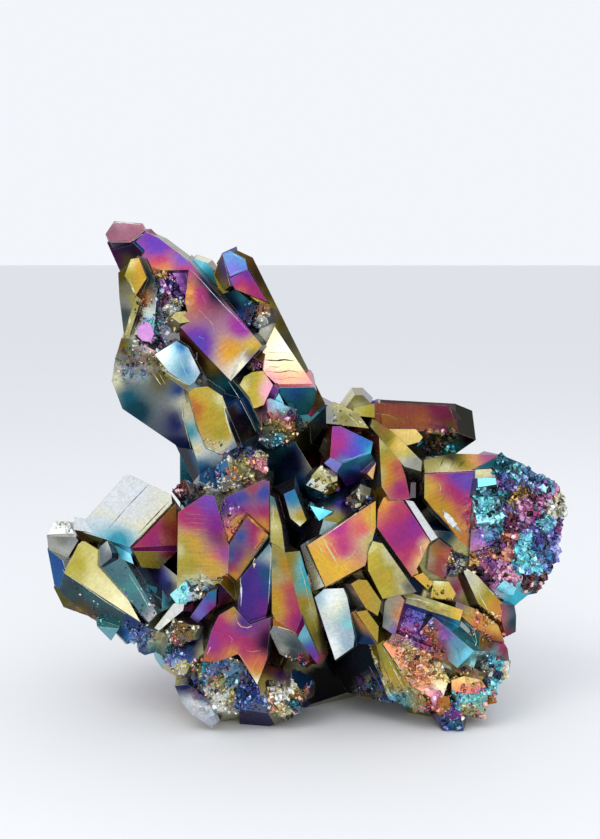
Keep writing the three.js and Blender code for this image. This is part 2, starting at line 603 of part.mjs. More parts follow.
for (const [x, z, w] of [[15.2, 20.4, 1.6], [15.4, 18.8, 1.9], [15.3, 17.3, 2]])
  add("teal step", block, {
    outline: [[x - w / 2, z - 0.4], [x + w / 2, z - 0.2], [x + w / 2, z + 0.3], [x - w / 2, z + 0.3]],
    y: -3.7, turn: [0.1, 0.5], deep: 1.5, flare: 0.3,
  });
add("pink shelf", block, {
  outline: [[13.8, 13], [16.6, 12.5], [17.4, 14.2], [16.6, 14.9], [14, 14.3]],
  y: -3.6, turn: [0, -0.2], deep: 2, flare: 0.3,
});
add("pale foot facet", block, {
  outline: [[16.1, 11.2], [17.5, 10.1], [17.9, 11.2], [16.8, 12]],
  y: -3.6, turn: [0.1, -0.2], deep: 2,
});
add("rose ridge", block, {
  outline: [[18.3, 14.4], [19.4, 14.6], [19.5, 17.4], [18.7, 19.2], [18, 18.9], [18, 16.6]],
  y: -3.1, turn: [0.2, 0.1], deep: 2, flare: 0.4,
});
add("cyan ridge", block, {
  outline: [[18.3, 12.7], [19.4, 12.2], [19, 13.4], [17.8, 15.9], [17.4, 15.7]],
  y: -3.3, turn: [0.1, 0.1], deep: 2, flare: 0.4,
});
for (const [i, [x, z, size]] of [
  [17.5, 20.4, 1], [20, 19.5, 1.1], [21.1, 17.6, 0.9], [20.4, 14.2, 1.1], [19, 11.4, 1],
].entries())
  add("broken crumb", lump, {
    at: [x, -2.7 + 0.15 * (x - 18), z], size: [size, 0.8, size], seed: 101 + i, chips: 9,
  });
add("brown block", block, {
  outline: [[10.2, 13], [11.7, 12.2], [12.2, 14.8], [11.2, 15.6], [10.4, 15]],
  y: -4.2, turn: [-0.1, 0.1], deep: 4,
});
add("grey crumb", lump, { at: [12.6, -3.2, 13.2], size: [1, 1.1, 1.1], seed: 71 });
add("gold step 1", block, {
  outline: [[9, 12.6], [10.2, 11.5], [10.7, 12], [9.8, 12.9]],
  y: -5, turn: [0.1, 0.2], deep: 4,
});
add("gold step 2", block, {
  outline: [[10.4, 10.8], [12.3, 10.6], [12.6, 11.1], [12, 12.1], [10.7, 12.2]],
  y: -5, turn: [0.1, 0.3], deep: 4,
});

// ------------------------------------------------ the right foot

add("blue fracture", block, {
  outline: [
    [7.4, 8.4], [8.8, 7.2], [12.9, 4.9], [13.9, 5], [14.6, 6.9],
    [14.2, 8.2], [12.5, 9.5], [10.5, 10.4], [8.1, 11.1],
  ],
  y: -6, turn: [0.1, 0.3], deep: 5,
});
add("frame top", block, {
  outline: [[7.3, 11], [12.7, 9.4], [13, 10.2], [7.4, 11.9]],
  y: -6.5, turn: [0, 0.5], deep: 4,
});
add("frame right", block, {
  outline: [[12.4, 10], [14, 8.6], [15.4, 7.6], [16.5, 7.4], [16, 8.7], [14, 10.1], [12.5, 10.7]],
  y: -6.2, turn: [0.2, 0.4], deep: 4,
});
add("frame left", block, {
  outline: [[6.3, 8.8], [7.3, 8.2], [8.1, 11.1], [7.3, 12], [6.5, 10.8]],
  y: -6.8, turn: [-0.3, 0.2], deep: 4,
});
add("frame low 1", block, {
  outline: [[6.8, 7.6], [11.2, 5.7], [11.6, 6.4], [7.2, 8.4]],
  y: -6.8, turn: [0, -0.2], deep: 4,
});
add("frame low 2", block, {
  outline: [[11.2, 5.4], [14.6, 4], [15, 4.7], [11.7, 6.2]],
  y: -6.6, turn: [0, 0], deep: 4,
});
add("right dark side", block, {
  outline: [[14.4, 6.3], [16.4, 4.9], [17.3, 4.9], [17, 6.4], [16.2, 7.7], [14.4, 8.3]],
  y: -5.6, turn: [0.5, -0.3], deep: 5,
});
add("thin gold prism", block, {
  outline: [[13.2, 13], [14.4, 10.4], [16.3, 8.9], [16.5, 10.3], [14.4, 12.6], [13.3, 13.4]],
  y: -5.2, turn: [0.2, 0.3], deep: 4,
});
add("thin gold prism end", block, {
  outline: [[16.4, 8.9], [16.9, 7.4], [17.8, 7.6], [17.8, 9], [17.6, 10], [16.4, 10.3]],
  y: -4.8, turn: [0.8, 0], deep: 4,
});
add("rose slab", block, {
  outline: [[6.4, 7.2], [8.8, 3.9], [10.6, 2.9], [11.4, 3.2], [11.9, 4.4], [11.2, 5.7], [6.9, 7.7]],
  y: -7, turn: [0.1, 0.4], deep: 4.5,
});
add("gold slab", block, {
  outline: [[12.1, 3.2], [15.3, 3.2], [14.6, 4.2], [13.2, 4.5], [12.1, 4.2]],
  y: -6.9, turn: [0, 0.5], deep: 4,
});
add("cyan foot block", block, {
  outline: [[12.4, 1.4], [14.9, 1], [15.1, 3], [12.6, 3.1]],
  y: -6.9, turn: [0, -0.05], deep: 5,
});
add("orange foot block", block, {
  outline: [[9.9, 2.2], [11.2, 1.2], [12.1, 1.7], [11.9, 2.9], [10.2, 3]],
  y: -7, turn: [-0.1, -0.1], deep: 4,
});
add("right foot tip", lump, { at: [12.2, -6, 0.9], size: [1.1, 1.5, 1.5], seed: 81 });
add("right foot 2", lump, { at: [15.5, -4.8, 4.6], size: [1.3, 1.7, 1.3], seed: 82 });
add("right foot 4", lump, { at: [15.4, -4.8, 2.8], size: [1, 1.5, 1.3], seed: 84 });
add("striped slope", block, {
  outline: [[5, 7.3], [6.9, 2.6], [9.7, 1.7], [9.9, 2.8], [6.5, 7.5]],
  y: -6.8, turn: [-0.3, 0.1], deep: 4.5,
});
add("navy slope", block, {
  outline: [[1.5, 5.9], [3.5, 2.2], [7.2, 2], [6.9, 3], [5.2, 7.4], [4, 7.3]],
  y: -5.6, turn: [-0.6, -0.3], deep: 5,
});

// ------------------------------------------------ the root that joins everything

add("core left", lump, { at: [-6, 0.5, 12], size: [5.5, 6, 8.5], seed: 91, chips: 16 });
add("core right", lump, { at: [5, 0.5, 13], size: [6.5, 5.5, 8], seed: 92, chips: 16 });
add("core top", lump, { at: [-1, 3.6, 20.5], size: [7, 4, 5.5], seed: 93, chips: 15 });
add("core far right", lump, { at: [11.5, 0.5, 11.5], size: [6, 5, 7], seed: 94, chips: 15 });
add("core neck", block, {
  outline: [[-6, 19], [4, 18], [6.5, 24], [1, 26.5], [-4, 29], [-7, 24]],
  y: 3, deep: 4.5, flare: 0,
});
add("core far left", lump, { at: [-13, -1, 12.5], size: [5, 4.5, 4], seed: 95, chips: 14 });
add("root middle", lump, { at: [0.5, 3, 4], size: [8, 6.5, 6], seed: 96, chips: 17 });
add("root right", lump, { at: [11.5, -1.5, 5], size: [4.6, 5, 6.4], seed: 97, chips: 15 });
add("root left", lump, { at: [-6.5, -1, 4.6], size: [4.6, 5, 6], seed: 98, chips: 15 });

// ------------------------------------------------ the crystals that point away from the viewer

for (const [foot, tip, wide, deep, facing, cap] of [
  [[-7, 2, 19], [-13.5, 8.5, 30.5], 5, 4.2, [-1, 0.6, 0], [0, 1.4, 0.4, 1.2, 0.2, 0.8]],
  [[-2, 3, 18], [-1.5, 10.5, 29], 5.6, 5, [0, 1, 0], [0.2, 1.2, 0, 1.6, 0.4, 1]],
  [[3, 3, 16], [7.5, 10.5, 25.5], 5.2, 4.6, [0.4, 1, 0], [0, 0.8, 0.2, 1.2, 0, 1.2]],
  [[-4, 4, 14], [-8.5, 14.5, 21.5], 5.4, 4.8, [-0.5, 1, 0.3], [0, 1.6, 0.3, 0.9, 0.2, 1.3]],
  [[1, 4, 13], [1.5, 16, 19.5], 5.6, 4.8, [0.2, 0, 1], [0.3, 1, 0, 1.5, 0.2, 0.9]],
  [[6, 3, 12], [13, 12, 18], 4.8, 4.2, [0.6, 1, 0], [0, 1.3, 0.2, 1.1, 0.3, 0.7]],
  [[-9, 2, 11], [-15.8, 10, 13.6], 4.2, 3.8, [-0.6, 1, 0.2], [0, 1.1, 0.3, 1.3, 0.1, 0.9]],
  [[-5, 4, 9], [-11, 14, 11.5], 4.6, 4, [-0.4, 1, 0.6], [0.2, 0.9, 0, 1.2, 0.3, 1]],
  [[1, 5, 8], [-2.5, 15.5, 11], 5, 4.4, [0, 0.4, 1], [0, 1.4, 0.2, 0.8, 0.1, 1.2]],
  [[5, 4, 8], [8.5, 14, 11.5], 4.6, 4, [0.5, 1, 0.4], [0.2, 1.1, 0.1, 1.4, 0, 0.9]],
  [[9, 1, 9], [17.5, 7.5, 10], 4.4, 3.8, [0.8, 0.8, 0.2], [0, 1.2, 0.2, 1, 0.2, 1.3]],
  [[13, 0, 13], [19, 5.5, 20], 4, 3.4, [0.8, 0.7, 0], [0.1, 0.9, 0.2, 1.3, 0, 1.1]],
  [[-13, 0, 12], [-19, 4, 12.5], 3.6, 3, [-1, 0.5, 0], [0, 1, 0.2, 1.1, 0.1, 0.8]],
  [[9, 2, 19], [13, 6.5, 24.5], 3, 2.6, [0.6, 1, 0], [0, 0.7, 0.1, 0.9, 0.1, 0.6]],
  [[5, 2, 19], [7, 7.5, 23.8], 3, 2.6, [0.3, 1, 0], [0.1, 0.8, 0, 0.9, 0.2, 0.6]],
]) add("far point", point, { foot, tip, wide, deep, facing, cap });

// ------------------------------------------------ one body, cut flat where it rests

const below = new THREE.BoxGeometry(80, 80, 20).translate(0, 0, RESTING_PLANE - 10);

// The triangles of the outside alone, without the hollows left shut in between the crystals: of all the
// sheets of triangles that hang together, the outside is the one with the most corners.
function outsideOf({ vertProperties, triVerts }) {
  const sheet = Int32Array.from({ length: vertProperties.length / 3 }, (_, corner) => corner);
  const sheetOf = (corner) => {
    while (sheet[corner] !== corner) corner = sheet[corner] = sheet[sheet[corner]];
    return corner;
  };
  for (let t = 0; t < triVerts.length; t += 3) {
    sheet[sheetOf(triVerts[t + 1])] = sheetOf(triVerts[t]);
    sheet[sheetOf(triVerts[t + 2])] = sheetOf(triVerts[t]);
  }
  const corners = new Map();
  sheet.forEach((_, corner) => corners.set(sheetOf(corner), (corners.get(sheetOf(corner)) ?? 0) + 1));
  const [[outside]] = [...corners].sort((a, b) => b[1] - a[1]);
  return triVerts.filter((_, i) => sheetOf(triVerts[i]) === outside);
}

const joined = solids.reduce((all, solid) => all.add(solid)).subtract(solidFrom(below)).getMesh();

const skin = new THREE.BufferGeometry();
skin.setAttribute("position", new THREE.BufferAttribute(new Float32Array(joined.vertProperties), 3));
skin.setIndex(new THREE.BufferAttribute(new Uint32Array(outsideOf(joined)), 1));

// Corners a few thousandths of a millimetre apart become one, and the triangles between them go.
const tidy = mergeVertices(skin, SMALLEST_EDGE);
const corner = tidy.index.array;
const kept = corner.filter((_, i) => {
  const [a, b, c] = corner.subarray(i - (i % 3), i - (i % 3) + 3);
  return a !== b && b !== c && c !== a;
});
tidy.setIndex(new THREE.BufferAttribute(kept, 1));

const material = new THREE.MeshStandardMaterial({
  name: "aura_quartz",
  color: 0x6a4a86,
  metalness: 0.8,
  roughness: 0.3,
});
const cluster = new THREE.Mesh(tidy, material);
cluster.name = "quartz_cluster";

const part = new THREE.Group();
part.name = "titanium_aura_quartz_cluster";
part.add(cluster);

export default part;
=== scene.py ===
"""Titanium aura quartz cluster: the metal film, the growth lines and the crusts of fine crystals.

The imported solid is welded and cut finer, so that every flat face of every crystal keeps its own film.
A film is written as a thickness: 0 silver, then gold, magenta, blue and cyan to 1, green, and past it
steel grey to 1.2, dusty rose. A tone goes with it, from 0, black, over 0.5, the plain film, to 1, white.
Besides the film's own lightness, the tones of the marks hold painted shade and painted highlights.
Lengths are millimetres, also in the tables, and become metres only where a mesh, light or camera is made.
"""

import math

import bmesh
import bpy
import numpy as np
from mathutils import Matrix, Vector
from mathutils.bvhtree import BVHTree


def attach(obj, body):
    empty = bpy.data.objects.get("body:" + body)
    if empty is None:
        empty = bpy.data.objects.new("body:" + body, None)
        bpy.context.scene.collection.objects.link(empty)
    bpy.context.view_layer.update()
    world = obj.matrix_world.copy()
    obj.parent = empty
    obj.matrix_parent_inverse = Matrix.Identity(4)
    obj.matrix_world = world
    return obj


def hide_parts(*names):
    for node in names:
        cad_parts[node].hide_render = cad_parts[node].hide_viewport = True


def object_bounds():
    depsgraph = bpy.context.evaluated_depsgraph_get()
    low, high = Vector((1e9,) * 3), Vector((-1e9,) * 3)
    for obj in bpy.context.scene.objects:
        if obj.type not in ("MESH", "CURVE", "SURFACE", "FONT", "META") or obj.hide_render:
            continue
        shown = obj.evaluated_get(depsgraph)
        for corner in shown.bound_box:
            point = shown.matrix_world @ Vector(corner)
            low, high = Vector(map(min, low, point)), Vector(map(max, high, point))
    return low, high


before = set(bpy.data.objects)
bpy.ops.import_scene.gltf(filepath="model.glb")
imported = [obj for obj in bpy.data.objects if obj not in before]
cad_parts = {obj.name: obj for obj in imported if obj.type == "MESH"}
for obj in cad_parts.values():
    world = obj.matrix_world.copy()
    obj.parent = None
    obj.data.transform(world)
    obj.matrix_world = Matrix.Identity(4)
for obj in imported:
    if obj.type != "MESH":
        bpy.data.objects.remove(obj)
cad_low, cad_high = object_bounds()

MM = 0.001
SEED = 20

# The camera: its place, how far it looks down (degrees), and its lens from the focal length in pixels.
EYE = Vector((-0.5, -111.0, 40.5))
EYE_PITCH = 7.86
FOCAL_PIXELS = 1300
FRAME_HEIGHT = 839
SENSOR = 36
LENS = FOCAL_PIXELS / FRAME_HEIGHT * SENSOR

# Triangles that turn less than this many degrees are one face, and the longest sides on faces and crusts.
FLAT_TURN = 1.2
FACE_STEP = 0.64
CRUST_STEP = 0.32

# The thickest film on the ramp, the tones of fine crystals painted dark as shade and pale as glints, and how
# many make a thick crust.
THICKEST = 1.2
SHADED_GRAIN_TONE = 0.14
GLINT_GRAIN_TONE = 0.9
THICK_CRUST = 220

# Film thicknesses and the colours they show, as sRGB in 0..255.
FILM_COLOURS = [
    (0.00, (205, 212, 218)),
    (0.08, (202, 196, 150)),
    (0.16, (152, 142, 52)),
    (0.25, (186, 143, 46)),
    (0.35, (190, 106, 60)),
    (0.47, (160, 48, 98)),
    (0.58, (124, 44, 134)),
    (0.68, (80, 58, 158)),
    (0.77, (42, 82, 160)),
    (0.87, (38, 122, 142)),
    (0.94, (62, 178, 198)),
    (1.00, (80, 195, 178)),
    (1.10, (98, 130, 148)),
    (1.20, (172, 104, 122)),
]

# ---------------------------------------------------------------- the film, crystal by crystal

# The marks of every crystal: x, z, film, tone. A mark lies where a line along Y first meets an open face.
# A low tone in a gap, hollow or side turned from the light is painted shade; a high tone on a glint is a
# painted highlight or reflection.

FILM_TOP_LEFT = {
    "leaning crystal, chipped end": [
        (-16.5, 41.3, 1.20, 0.45), (-14.6, 41.4, 1.20, 0.49), (-15.9, 41.9, 1.20, 0.62),
        (-14.4, 41.9, 1.20, 0.62),
    ],
    "leaning crystal, under the end": [
        (-16.4, 39.8, 0.68, 0.17), (-15.4, 39.8, 0.70, 0.17), (-16.2, 39.2, 0.58, 0.22),
        (-14.8, 39.4, 0.60, 0.12), (-16.0, 37.6, 0.20, 0.24), (-15.2, 38.9, 0.20, 0.22),
    ],
    "leaning crystal, long face": [
        (-14.4, 40.3, 0.79, 0.48), (-12.6, 39.9, 0.68, 0.50), (-12.4, 38.5, 0.45, 0.50),
        (-12.2, 38.0, 0.26, 0.52), (-10.5, 38.7, 0.72, 0.54), (-10.5, 38.1, 0.44, 0.50),
        (-10.1, 36.1, 0.26, 0.51), (-9.0, 36.0, 0.47, 0.48), (-9.1, 31.6, 0.68, 0.46),
        (-5.4, 33.0, 0.60, 0.50), (-6.2, 31.2, 0.27, 0.48), (-4.7, 31.4, 0.20, 0.60),
    ],
    "leaning crystal, shoulder": [
        # The pale mark at -14.8, 38.5 is a painted highlight.
        (-15.0, 37.5, 0.16, 0.43), (-14.8, 38.5, 0.14, 0.74), (-14.2, 38.5, 0.29, 0.49),
        (-14.1, 37.9, 0.27, 0.48), (-15.4, 36.2, 0.05, 0.28), (-15.3, 35.2, 0.00, 0.28),
        (-15.4, 34.4, 0.95, 0.14), (-14.8, 35.3, 0.14, 0.58), (-15.1, 33.6, 0.14, 0.56),
        (-15.2, 32.5, 0.10, 0.62), (-14.3, 33.8, 0.38, 0.20), (-13.9, 35.6, 0.30, 0.40),
        (-14.6, 32.6, 0.04, 0.60), (-14.2, 32.0, 0.00, 0.78),
    ],
    "leaning crystal, hollow": [
        (-13.4, 37.0, 1.10, 0.16), (-13.3, 34.2, 0.06, 0.78), (-13.3, 33.6, 0.98, 0.60),
        (-12.6, 36.3, 1.10, 0.28), (-12.7, 34.2, 1.10, 0.30), (-12.0, 36.6, 0.60, 0.66),
        (-12.0, 35.6, 0.55, 0.20), (-11.2, 37.2, 0.55, 0.84), (-11.3, 36.4, 0.66, 0.34),
        (-11.3, 34.9, 0.00, 0.40), (-10.7, 37.2, 0.66, 0.24), (-11.2, 34.1, 0.18, 0.68),
        (-10.5, 34.0, 0.17, 0.64), (-12.7, 33.1, 1.10, 0.50), (-10.2, 32.4, 0.40, 0.18),
    ],
    "rose facet": [
        (-13.8, 32.4, 0.57, 0.70), (-13.3, 32.8, 0.57, 0.70), (-13.2, 32.3, 0.57, 0.70),
        (-13.9, 31.8, 0.68, 0.14), (-13.4, 31.5, 0.42, 0.92), (-13.9, 31.4, 0.00, 0.34),
    ],
    "leaning crystal, lower face": [
        (-15.2, 31.4, 0.15, 0.25), (-14.5, 30.2, 0.08, 0.24), (-13.2, 30.5, 0.14, 0.28),
        (-14.6, 29.5, 1.10, 0.56), (-12.3, 28.8, 0.16, 0.28), (-15.3, 28.5, 1.10, 0.31),
        (-10.9, 27.7, 0.80, 0.34), (-15.3, 27.3, 0.88, 0.34), (-14.6, 26.0, 0.88, 0.22),
        (-11.1, 25.4, 0.76, 0.22), (-16.1, 28.6, 0.08, 0.62),
    ],
    "pale facets": [
        # The pale mark at -11.9, 31.2 is a painted glint.
        (-11.9, 31.2, 0.02, 0.76), (-10.9, 31.3, 0.90, 0.80), (-10.7, 31.5, 0.84, 0.30),
        (-10.1, 30.5, 0.86, 0.52), (-10.1, 29.7, 0.86, 0.50), (-9.6, 30.3, 0.02, 0.62),
        (-11.6, 29.2, 0.10, 0.62), (-10.6, 28.5, 0.10, 0.66),
    ],
    # The near-black marks low on this flank are painted shade on a side turned from the light.
    "leaning crystal, lower flank": [
        (-9.3, 30.6, 0.34, 0.14), (-7.7, 29.4, 0.17, 0.28), (-8.6, 28.5, 0.03, 0.36),
        (-6.9, 28.4, 0.94, 0.40), (-5.9, 27.5, 0.86, 0.32), (-6.6, 27.0, 0.74, 0.16),
        (-6.3, 26.9, 0.76, 0.55), (-5.8, 26.6, 0.78, 0.58), (-6.1, 26.1, 0.75, 0.05),
        (-5.5, 25.4, 0.75, 0.02), (-4.9, 24.8, 0.75, 0.03), (-5.7, 24.2, 0.70, 0.05),
    ],
    "gold point": [
        (-9.2, 26.5, 0.34, 0.42), (-9.3, 25.3, 0.20, 0.50), (-8.5, 27.9, 0.18, 0.53),
        (-7.8, 26.2, 0.19, 0.50), (-7.1, 27.3, 0.10, 0.56), (-6.9, 24.4, 0.16, 0.48),
        (-6.6, 23.6, 0.10, 0.54),
    ],
    "gold point, left flank": [
        (-10.3, 26.7, 0.06, 0.52), (-10.3, 25.5, 0.02, 0.44), (-10.0, 26.0, 0.06, 0.46),
        (-10.0, 24.4, 0.96, 0.40), (-9.7, 22.4, 0.00, 0.50), (-9.2, 22.9, 0.04, 0.56),
        (-8.9, 21.4, 0.84, 0.44), (-6.9, 21.6, 0.82, 0.52), (-9.6, 21.6, 0.84, 0.38),
        (-8.6, 20.9, 0.82, 0.36),
    ],
    # The low tones in the gap are painted shade.
    "gap and post": [
        (-10.9, 22.6, 0.76, 0.20), (-11.1, 21.6, 0.74, 0.12), (-11.0, 24.8, 0.77, 0.26),
        (-11.2, 19.6, 0.40, 0.36), (-10.6, 19.6, 0.36, 0.26), (-10.3, 20.6, 0.72, 0.06),
    ],
}

